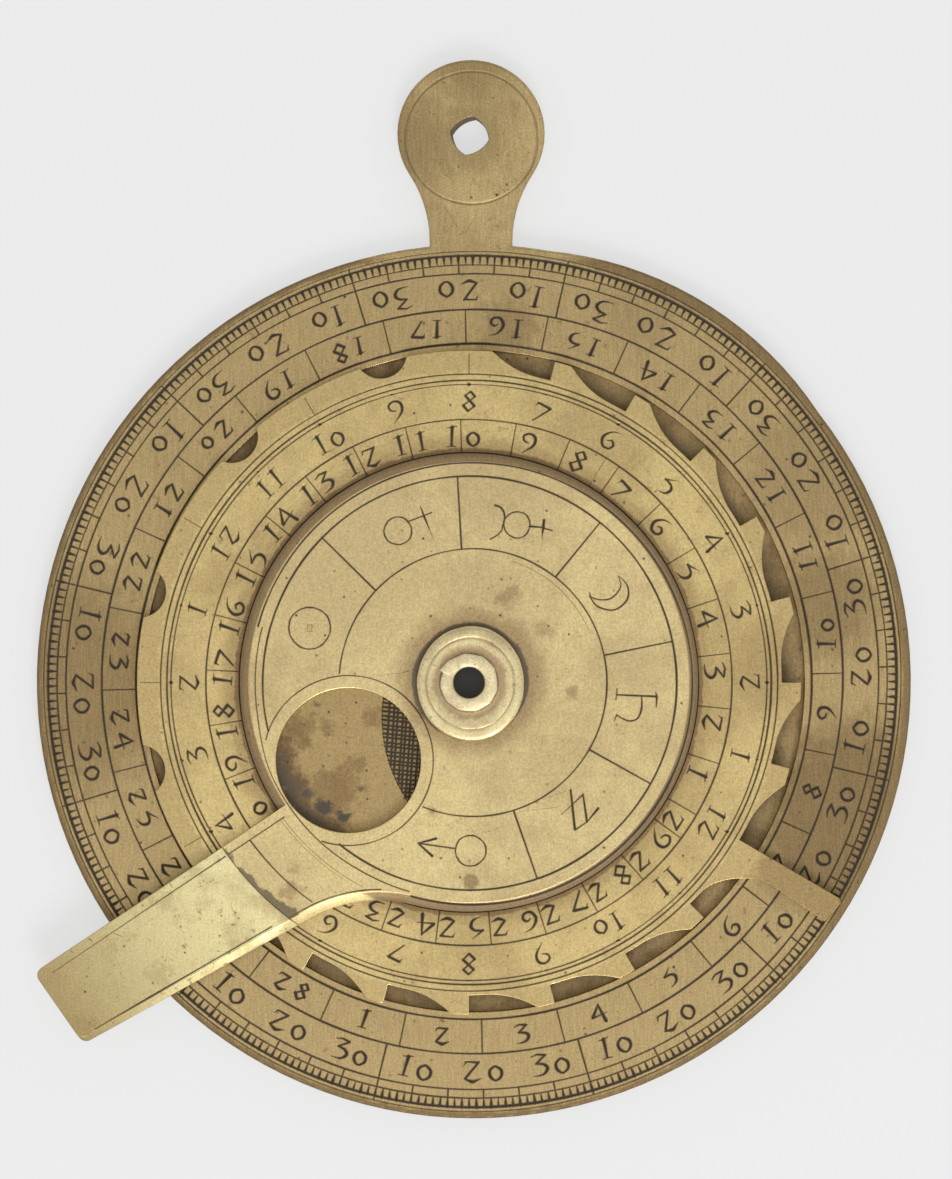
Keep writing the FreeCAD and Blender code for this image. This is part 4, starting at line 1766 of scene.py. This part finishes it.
@dataclass
class Centre:
    """Spring collar and the peened sight tube that holds the discs."""

    bore: float = 2.62
    collar: float = 6.3
    collar_bottom: float = 4.75
    collar_edge: float = 5.1
    collar_top: float = 5.65
    hollow: float = 4.95
    tread: float = 5.3
    line: float = 5.1
    flange: float = 3.35
    sight: float = 1.78
    tube: float = 2.6
    tube_top: float = 6.05
    flare: float = 3.1
    tab_angle: float = 291.0

    def build_collar(self) -> bpy.types.Object:
        """Domed washer with a turned line and a hollow round the rivet.

        Returns:
            The collar.
        """
        profile = [
            (self.bore, self.hollow), (self.tread, self.collar_bottom),
            (self.collar - 0.05, self.collar_bottom),
            (self.collar, self.collar_bottom + 0.05), (self.collar, self.collar_edge + 0.12),
            (self.collar - 0.04, self.collar_edge + 0.22), (self.collar - 0.16, self.collar_edge + 0.31),
            (5.85, 5.47), (5.5, 5.5), (self.line + 0.09, 5.525), (self.line + 0.05, 5.51), (self.line, 5.47),
            (self.line - 0.05, 5.51), (self.line - 0.09, 5.53), (4.7, 5.53), (4.3, 5.51), (3.9, 5.47),
            (3.6, 5.46), (3.45, 5.49), (3.2, 5.56), (self.bore, 5.6),
        ]
        piece = loops_of_profile("spring_collar_turned", profile)
        shape(piece, self.collar_shape)
        mark_depths(piece, self.collar_depth)
        smooth_by_angle(piece, 38)
        return piece

    def collar_shape(self, place: Vector) -> Vector:
        """Leaves the bore true and makes the rim a little narrower than long, as filed by eye.

        Args:
            place: a point, in mm.

        Returns:
            Its new place.
        """
        radius = math.hypot(place.x, place.y)
        share = smoothstep(self.bore, self.collar, radius)
        turn = math.atan2(place.x, place.y)
        reach = radius * (1 + share * (0.034 * math.cos(2 * turn) + 0.008 + 0.008 * waver(4, turn)))
        return Vector((
            reach * math.sin(turn) + 0.2 * share, reach * math.cos(turn) - 0.1 * share, place.z
        ))

    def collar_depth(self, place: Vector) -> float:
        """Dirt of the turned line and of the collar's foot, by place in mm.

        Args:
            place: a point, in mm.

        Returns:
            The depth that darkens it.
        """
        radius = math.hypot(place.x - 0.15, place.y + 0.08)
        line = 0.05 - abs(radius - self.line) * 0.6
        return max(0.0, line, 0.04 if place.z < 4.8 else 0.0)

    def build_tube(self) -> bpy.types.Object:
        """Hollow rivet: flared at the back and hammered out over the collar in front.

        Returns:
            The tube.
        """
        top = self.tube_top
        profile = [
            (self.sight, 0.0), (self.flare, 0.0), (self.tube, 0.6), (self.tube, self.collar_top),
            (self.flange - 0.06, self.collar_top), (self.flange, self.collar_top + 0.05),
            (self.flange, self.collar_top + 0.22), (self.flange - 0.04, self.collar_top + 0.29),
            (self.flange - 0.12, self.collar_top + 0.34), (self.flange - 0.32, top - 0.02), (2.8, top),
            (2.45, top), (2.15, top - 0.02), (1.98, top - 0.06), (1.86, top - 0.13), (1.8, top - 0.22),
            (self.sight, top - 0.32),
        ]
        piece = loops_of_profile("sight_tube_peened", profile, 192)
        shape(piece, self.flange_shape)
        mark_depths(piece, self.tube_depth)
        smooth_by_angle(piece, 38)
        return piece

    def flange_shape(self, place: Vector) -> Vector:
        """Hammered rim: flats of the hammer, a lapped tab at the upper left and a crack beside it.

        Args:
            place: a point, in mm.

        Returns:
            Its new place.
        """
        radius = math.hypot(place.x, place.y)
        if place.z < self.collar_top - 0.01 or radius < self.sight + 0.01:
            return place
        turn = math.atan2(place.x, place.y)
        clockwise = math.degrees(turn) % 360
        share = smoothstep(self.sight, self.flange, radius)
        past_tab = (clockwise - self.tab_angle) % 360
        tab = 0.1 * math.exp(-past_tab / 16) - 0.05 * math.exp(-(360 - past_tab) / 10)
        reach = radius * (1 + share * (self.flats(clockwise) + tab))
        lift = 0.08 * share * math.exp(-past_tab / 20)
        sink = 0.05 * share * (1 + 0.5 * math.sin(3 * turn + 1) + 0.5 * math.sin(5 * turn))
        return Vector((
            reach * math.sin(turn), reach * math.cos(turn), min(place.z + lift - sink, self.tube_top)
        ))

    @staticmethod
    def flats(clockwise: float) -> float:
        """Share by which the hammer's flats bring in the round rim.

        Args:
            clockwise: degrees clockwise from the handle.

        Returns:
            The share, 0 or less.
        """
        corners = (-9, 27, 62, 104, 133, 168, 199, 231, 262, 291, 318, 351)
        for before, after in zip(corners, corners[1:]):
            if before <= clockwise < after:
                half = math.radians(after - before) / 2
                off = math.radians(clockwise - before) - half
                return 0.01 * math.sin(before) + 0.55 * (math.cos(half) / math.cos(off) - 1)
        return Centre.flats(clockwise - 360)

    def tube_depth(self, place: Vector) -> float:
        """Dirt and painted shade of the sight hole, whose bore is darkened as a deep hole looks, and dirt of
        the crack beside the tab, by place in mm.

        Args:
            place: a point, in mm.

        Returns:
            The depth that darkens it.
        """
        radius = math.hypot(place.x, place.y)
        # the bore's wall gets the groove colour: dirt and painted shade of the deep sight hole
        if radius < self.sight + 0.02:
            return 0.06
        clockwise = math.degrees(math.atan2(place.x, place.y)) % 360
        off = abs((clockwise - self.tab_angle + 7 + 180) % 360 - 180)
        on_top = place.z > self.collar_top + 0.2
        return 0.03 * max(0.0, 1 - off / 1.8) if on_top else 0.0


def mark_depths(piece: bpy.types.Object, depth: Callable[[Vector], float]) -> None:
    """Writes the depth that darkens a groove at each vertex, by its place in mm."""
    marks = [depth(v.co / MM) for v in piece.data.vertices]
    piece.data.attributes.new(DEPTH_ATTRIBUTE, "FLOAT", "POINT").data.foreach_set("value", marks)


# Studio

@dataclass(frozen=True)
class Softbox:
    """Square lamp that faces the dial: its place in metres, its side in metres and its watts."""

    name: str
    place: tuple[float, float, float]
    side: float
    power: float

    def build(self) -> None:
        """Sets up the lamp."""
        data = bpy.data.lights.new(self.name, "AREA")
        data.size = self.side
        data.energy = self.power
        lamp = bpy.data.objects.new(self.name, data)
        lamp.location = self.place
        lamp.rotation_euler = (-Vector(self.place)).to_track_quat("-Z", "Y").to_euler()
        bpy.context.scene.collection.objects.link(lamp)


@dataclass(frozen=True)
class Studio:
    """Pale table, soft light from the foot of the picture and a camera straight above."""

    aim: Point = (0.8, 10.63)
    distance: float = 0.75
    view_height: float = 135.5
    floor_colour: str = "#ececec"
    floor_lit: str = "#dcdcdc"
    # darker grey of the card under the sight hole: painted shadow
    floor_covered: str = "#8c8c8c"
    shadow_share: float = 0.25
    sight_shadow: float = 4.0
    card_size: float = 6.0
    clearance: float = 0.02
    sensor: float = 36.0
    wall_rise: float = 0.45
    wall_strength: float = 1.0
    ceiling_rise: float = 0.9
    ceiling_strength: float = 0.4
    lamps: tuple[Softbox, ...] = (
        Softbox("foot_softbox", (0.16, -0.72, 0.72), 0.4, 5.0),
        Softbox("overhead_softbox", (0.0, -0.25, 1.1), 1.2, 3.4),
    )

    def build(self) -> None:
        """Sets up floor, lamps, world and camera."""
        self.floor()
        self.world()
        for lamp in self.lamps:
            lamp.build()
        self.camera()
        bpy.context.scene.view_settings.view_transform = "Standard"

    def floor(self) -> None:
        """Pale backdrop card: an even grey to the camera, with a faint shadow, and clear from below.

        The card lies just under the dial, so that the two never share a plane. Under the sight hole its
        colour is a painted shadow, a darker grey that stands for the dark of a deep hole, and it keeps none
        of the even grey.
        """
        bpy.ops.object.select_all(action="DESELECT")
        bpy.ops.mesh.primitive_plane_add(size=self.card_size, location=(0, 0, -self.clearance * MM))
        card = bpy.context.active_object
        card.name = "backdrop_card"
        material = bpy.data.materials.new("backdrop_matt_card")
        add = empty_tree(material)
        place = add("ShaderNodeTexCoord", output="Object")
        reach = add(VECTOR_MATH, (place,), "Value", operation="LENGTH")
        uncovered = add(MATH, (reach, self.sight_shadow * MM), operation="GREATER_THAN")
        # inside sight_shadow the card takes the darker grey: painted shadow under the sight hole
        paper = {"Factor": uncovered, "A": linear(self.floor_covered), "B": linear(self.floor_lit)}
        matt = add("ShaderNodeBsdfPrincipled", {"Base Color": add(MIX, paper, **COLOUR), "Roughness": 0.9})
        even = add("ShaderNodeEmission", {"Color": linear(self.floor_colour), "Strength": 1.0})
        camera_ray = add("ShaderNodeLightPath", output="Is Camera Ray")
        glossy_ray = camera_ray.node.outputs["Is Glossy Ray"]
        seen = add(MATH, (camera_ray, glossy_ray), operation="ADD", use_clamp=True)
        share = add(MATH, (seen, 1 - self.shadow_share), operation="MULTIPLY")
        share = add(MATH, (share, uncovered), operation="MULTIPLY")
        above = add("ShaderNodeMixShader", (share, matt, even))
        from_below = add("ShaderNodeNewGeometry", output="Backfacing")
        clear = add("ShaderNodeBsdfTransparent")
        surface = add("ShaderNodeMixShader", (from_below, above, clear))
        add("ShaderNodeOutputMaterial", {"Surface": surface})
        card.data.materials.append(material)

    def world(self) -> None:
        """White surroundings, brighter at the walls than at the ceiling."""
        world = bpy.data.worlds.new("studio")
        add = empty_tree(world)
        way = add("ShaderNodeTexCoord", output="Generated")
        rise = add("ShaderNodeSeparateXYZ", (way,), "Z")
        walls_to_ceiling = (self.wall_rise, self.ceiling_rise, self.wall_strength, self.ceiling_strength)
        strength = add(RANGE, (rise, *walls_to_ceiling), **SMOOTH)
        light = add("ShaderNodeBackground", {"Color": (1, 1, 1, 1), "Strength": strength})
        add("ShaderNodeOutputWorld", {"Surface": light})
        bpy.context.scene.world = world

    def camera(self) -> None:
        """Long lens straight above the dial, the handle up."""
        data = bpy.data.cameras.new("camera")
        data.sensor_width = self.sensor
        data.lens = self.sensor * self.distance / (self.view_height * MM)
        camera = bpy.data.objects.new("camera", data)
        camera.location = (self.aim[0] * MM, self.aim[1] * MM, self.distance)
        bpy.context.scene.collection.objects.link(camera)
        bpy.context.scene.camera = camera


# Brass of each piece, tarnished as its place on the instrument has made it, with painted shade on some pieces

# Sheet hammered flat and scraped: dull and brown, darkest on its outer rim, which nothing rubs
LIMB_BRASS = AgedBrass(
    "limb_brass_hammered_and_scraped",
    worn="#baa373",
    brown="#6f5a3f",
    cloud_mm=8.0,
    cloud_share=0.32,
    grain_strength=0.17,
    brush_strength=0.1,
    brush_turn=8.0,
    pit_mm=1.3,
    pit_share=0.3,
    speck_share=0.4,
    tarnish=(
        Patch(0.55, 0.1, 50.6, 0.26, inner=25, soft=1.4, ragged=0.6),
        Patch(0.55, 0.1, 52, 0.75, inner=49.3, soft=0.4, ragged=0.3, limit=Limit("Y", 49.3, 48.0)),
        Patch(0.55, 0.1, 52, 0.72, inner=49.0, soft=0.4, ragged=0.3, limit=Limit("X", 24, 42)),
        Patch(-47, 0, 15, 0.6, soft=8, ragged=3),
        Patch(44, -16, 13, 0.72, soft=6, ragged=3),
        Patch(41, 9, 7, 0.6, soft=4, ragged=2),
        Patch(40, 24, 10, 0.45, soft=5, ragged=3),
        Patch(4.5, 40.3, 4, 0.55, soft=2.5, ragged=2),
        Patch(20, 42, 6, 0.4, soft=4, ragged=2),
        Patch(-7, 62, 6, 0.5, soft=4, ragged=2),
        Patch(0.23, 71, 5, 0.5, soft=4, ragged=2),
        Patch(0.55, 0.1, 42.4, 0.28, inner=38.9, soft=0.4, ragged=0.8),
        Patch(0.3, 62.6, 4.2, 0.4, soft=1.6, ragged=1),
    ),
    pitted=(
        Patch(0.8, 58.4, 4.2, 0.7, soft=2.2, ragged=1),
        Patch(0.6, 68.6, 1.4, 0.6, soft=0.8, ragged=0.5),
        Patch(0.55, 0.1, 52, 0.45, inner=49.4, soft=0.4, ragged=0.3),
    ),
)

# Burnished sheet, yellower than the limb, black where the moon's dark round is filled, with dirt and a
# painted shadow at the moon disc's foot and dirt and painted shade along the window's far edge
HOUR_BRASS = AgedBrass(
    "hour_brass_burnished",
    worn="#c8b27b",
    brown="#856c4c",
    soot_colour="#3b342f",
    cloud_share=0.38,
    grain_strength=0.16,
    pit_share=0.3,
    speck_share=0.3,
    brush_strength=0.05,
    tarnish=(
        # ring at the moon disc's foot: dirt and a painted shadow of the moon disc
        Patch(0, 0, 28.2, 0.5, inner=25.8, soft=1.0, ragged=0.7),
        Patch(0, 0, 26.9, 0.9, inner=25.7, soft=0.3, ragged=0.3),
        Patch(0, 0, 53, 0.3, inner=35.6, soft=0.3, ragged=0.5),
        Patch(0, 0, 53, 0.65, inner=38.6, soft=1.5, ragged=1.2),
        Patch(34, 2, 6, 0.5, soft=4, ragged=2),
        Patch(-13.86, -8.9, 9.3, 0.55, soft=0.5, ragged=0.2),
        # band along the window's far edge, left side: dirt and painted shade
        Patch(0, 0, 25.6, 1.0, inner=20.8, soft=2.6, ragged=2.2, limit=Limit("X", -4, -10)),
        Patch(-15.0, -12.5, 4.0, 0.85, soft=3.0, ragged=2.5),
        Patch(-19.5, -5.5, 3.0, 0.9, soft=2.5, ragged=2.5),
        Patch(-12.5, -9.5, 1.6, 0.8, soft=1.2, ragged=1.6),
        Patch(-10.5, -4.0, 1.6, 0.8, soft=1.2, ragged=1.6),
        Patch(-16.5, -5.0, 1.6, 0.8, soft=1.4, ragged=1.6),
    ),
    soot=(
        Patch(6.9, -4.0, 16.7, 0.34, soft=0.2, ragged=0.1),
        # darker band along the window's far edge, left side: dirt and painted shade
        Patch(0, 0, 25.5, 0.85, inner=23.0, soft=1.4, ragged=1.2, limit=Limit("X", -9, -14)),
        Patch(-14.4, -15.4, 0.75, 0.9, soft=0.35, ragged=1.0),
        Patch(-16.6, -14.3, 0.75, 0.9, soft=0.35, ragged=1.0),
        Patch(-18.6, -12.6, 0.5, 0.8, soft=0.4, ragged=1.0),
        Patch(-12.5, -12.4, 0.45, 0.7, soft=0.4, ragged=1.0),
        Patch(-17.4, -2.6, 0.3, 0.6, soft=0.25, ragged=0.6),
        Patch(-16.7, -9.6, 0.15, 0.9, soft=0.12, ragged=0.4),
    ),
    pitted=(
        Patch(-15, -10, 9.0, 0.5, soft=2.0, ragged=1),
        Patch(*polar(46, 120.2), 6.5, 0.75, soft=2.0, ragged=1),
        Patch(0, 0, 40, 0.35, inner=36.0, soft=0.5, ragged=0.5),
    ),
)

# Burnished sheet that the thumb turns: bright, with dirt and painted shade along its bevel and a dark ring of
# dirt and painted shadow round the collar
MOON_BRASS = AgedBrass(
    "moon_brass_rubbed_by_hand",
    worn="#d0bc88",
    brown="#8d7456",
    soot_colour="#453b30",
    cloud_share=0.34,
    grain_strength=0.16,
    brush_strength=0.05,
    pit_share=0.22,
    speck_share=0.26,
    tarnish=(
        Patch(0.4, 0.3, 8.6, 0.68, soft=1.8, ragged=0.8),
        # dark band on the moon disc's bevel: dirt and painted shade
        Patch(0, 0, 27, 0.8, inner=24.5, soft=0.3, ragged=0.0, limit=Limit("Z", 4.69, 4.6)),
        Patch(0.1, -22.6, 0.95, 0.75, soft=0.25, ragged=0.5),
        Patch(-15, 15, 12, 0.28, soft=6.0, ragged=3),
        Patch(4.2, 9.8, 1.4, 0.65, soft=1.0, ragged=1.5),
        Patch(8.0, 6.0, 1.4, 0.55, soft=1.2, ragged=1.5),
        Patch(11.6, -1.2, 0.8, 0.6, soft=0.5, ragged=0.8),
        Patch(3, 24, 7, 0.35, soft=4.0, ragged=2.5),
        Patch(-4.2, -14.7, 0.6, 0.6, soft=0.4, ragged=0.7),
        Patch(*ARM.point(30.0, 8.5), 1.1, 0.6, soft=0.5, ragged=1.1),
        Patch(*ARM.point(28.6, 6.6), 0.6, 0.5, soft=0.5, ragged=0.9),
        Patch(*ARM.point(31.0, 6.0), 5.0, 0.2, soft=3.0, ragged=2.5),
        Patch(*ARM.point(33.9, 5.0), 40, 0.5, inner=0.1, soft=0.2, ragged=0.3, limit=Limit("Z", 4.16, 4.1)),
    ),
    soot=(
        # dark ring round the collar, wider to the upper right: dirt and a painted shadow of the collar
        Patch(0.06, 0.04, 6.58, 0.85, inner=5.0, soft=0.15, ragged=0.2),
        Patch(0.26, 0.28, 6.6, 0.85, inner=5.0, soft=0.15, ragged=0.2),
        # darker foot of the bevel: dirt and painted shade
        Patch(0, 0, 27, 0.4, inner=25.2, soft=0.3, ragged=0.4, limit=Limit("Z", 4.45, 4.15)),
        # lower right of the bevel darkened: painted shade
        Patch(11, -20, 17, 0.4, soft=5, ragged=1, limit=Limit("Z", 4.64, 4.56)),
        Patch(*ARM.point(0, -4), 44, 0.75, inner=34.15, soft=0.15, ragged=0.7, limit=Limit("Z", 4.64, 4.68)),
    ),
    pitted=(
        Patch(6, 8, 6.0, 0.5, soft=2.5, ragged=2),
        Patch(-4.2, -14.7, 1.6, 0.7, soft=0.8, ragged=0.8),
        Patch(*ARM.point(30.0, 7.0), 4.0, 0.45, soft=2.0, ragged=1.5),
        Patch(11, -3, 3.0, 0.4, soft=2.0, ragged=1.5),
    ),
)

# Burnished sheet, rubbed bright where it is held and browner and spotted to its tip
BLADE_BRASS = AgedBrass(
    "blade_brass_rubbed_bright",
    worn="#dccf9b",
    brown="#8a7149",
    cloud_share=0.45,
    cloud_mm=4.5,
    grain_strength=0.13,
    brush_strength=0.05,
    brush_turn=-50.0,
    pit_share=0.34,
    speck_share=0.5,
    fade=Fade(ARM.point(33.0, 5.0), ARM.point(66.0, 5.0), 0.8),
    tarnish=(
        Patch(*ARM.point(58.5, 2.0), 2.4, 0.7, soft=1.5, ragged=1.5),
        Patch(*ARM.point(58.3, 8.2), 2.4, 0.75, soft=1.5, ragged=1.5),
        Patch(*ARM.point(54.0, 6.0), 2.0, 0.55, soft=1.5, ragged=2.0),
        Patch(*ARM.point(48.0, 8.0), 2.0, 0.5, soft=1.6, ragged=2.0),
        Patch(*ARM.point(51.5, 2.6), 2.0, 0.55, soft=1.2, ragged=2.0),
        Patch(*ARM.point(43.0, 1.2), 1.6, 0.45, soft=1.0, ragged=1.8),
        Patch(*ARM.point(39.0, 10.0), 1.0, 0.4, soft=0.8, ragged=1.2),
    ),
    pitted=(
        Patch(*ARM.point(38.0, 8.5), 3.0, 0.6, soft=1.5, ragged=1.5),
        Patch(*ARM.point(51.0, 5.0), 7.0, 0.4, soft=3.0, ragged=1.5),
        Patch(*ARM.point(58.0, 8.0), 3.0, 0.6, soft=1.5, ragged=1.5),
    ),
)

# Sheet that no finger reaches: brown and matt, with painted shade in front under the hour disc's edge
PLATE_BRASS = AgedBrass(
    "plate_brass_never_rubbed",
    worn="#a68f66",
    brown="#665440",
    soot_colour="#3b332e",
    roughness=0.55,
    cloud_mm=6.0,
    cloud_share=0.45,
    brush_strength=0.1,
    brush_turn=35.0,
    # recess floor darker towards the pivot, under the hour disc's edge: painted shade
    soot=(Patch(0, 0, 35.9, 0.85, soft=1.9, ragged=0.4, limit=Limit("Z", 0.1, 0.5)),),
)

# Brass turned on a lathe: pale and even, with dirt round the rivet and in its turned line
COLLAR_BRASS = AgedBrass(
    "collar_brass_turned",
    worn="#d8c899",
    brown="#94795c",
    cloud_share=0.36,
    cloud_mm=4.0,
    grain_strength=0.15,
    pit_mm=0.8,
    pit_share=0.32,
    speck_mm=0.6,
    speck_share=0.4,
    brush_strength=0.05,
    tarnish=(Patch(0.1, 0, 4.3, 0.7, soft=0.5, ragged=0.5),),
    soot=(Patch(0, 0, 3.42, 0.6, soft=0.06, ragged=0.05),),
)

# End of the tube, hammered out and polished: the palest brass, matt from the hammer
RIVET_BRASS = AgedBrass(
    "rivet_brass_peened_and_polished",
    worn="#e4d7b0",
    brown="#a58f68",
    roughness=0.6,
    cloud_share=0.36,
    cloud_mm=3.0,
    grain_strength=0.14,
    pit_share=0.25,
    speck_mm=0.5,
    speck_share=0.4,
    brush_strength=0.03,
)


@dataclass
class Nocturnal:
    """The whole instrument, dressed piece by piece on its frame."""

    limb: Limb = field(default_factory=Limb)
    hour_dial: HourDial = field(default_factory=HourDial)
    moon_dial: MoonDial = field(default_factory=MoonDial)
    centre: Centre = field(default_factory=Centre)

    def build(self) -> None:
        """Builds every piece and gives it its finish."""
        made = (
            (self.limb.build, LIMB_BRASS.build(), "limb_brass", "base", "limb_plate"),
            (self.hour_dial.build, HOUR_BRASS.build(), "disc_brass", "hour_dial", "hour_disc"),
            (self.moon_dial.build_disc, MOON_BRASS.build(), "disc_brass", "moon_dial", "moon_disc"),
            (self.moon_dial.build_blade, BLADE_BRASS.build(), "disc_brass", "moon_dial", "index_blade"),
            (self.centre.build_collar, COLLAR_BRASS.build(), "rivet_brass", "base", "spring_collar"),
            (self.centre.build_tube, RIVET_BRASS.build(), "rivet_brass", "base", "sight_tube"),
        )
        for build, brass, slot, body, node in made:
            piece = build()
            finish(piece, brass, slot)
            seat(piece, body, node)
        plate_brass = PLATE_BRASS.build()
        for node in ("back_plate", "boss_washer"):
            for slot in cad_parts[node].material_slots:
                slot.material = plate_brass
            log.info("%s: carried over from the frame", node)


def main() -> None:
    """Dresses the instrument and sets up the studio."""
    logging.basicConfig(level=logging.INFO, format="%(message)s")
    Nocturnal().build()
    Studio().build()


if __name__ == "__main__":
    main()
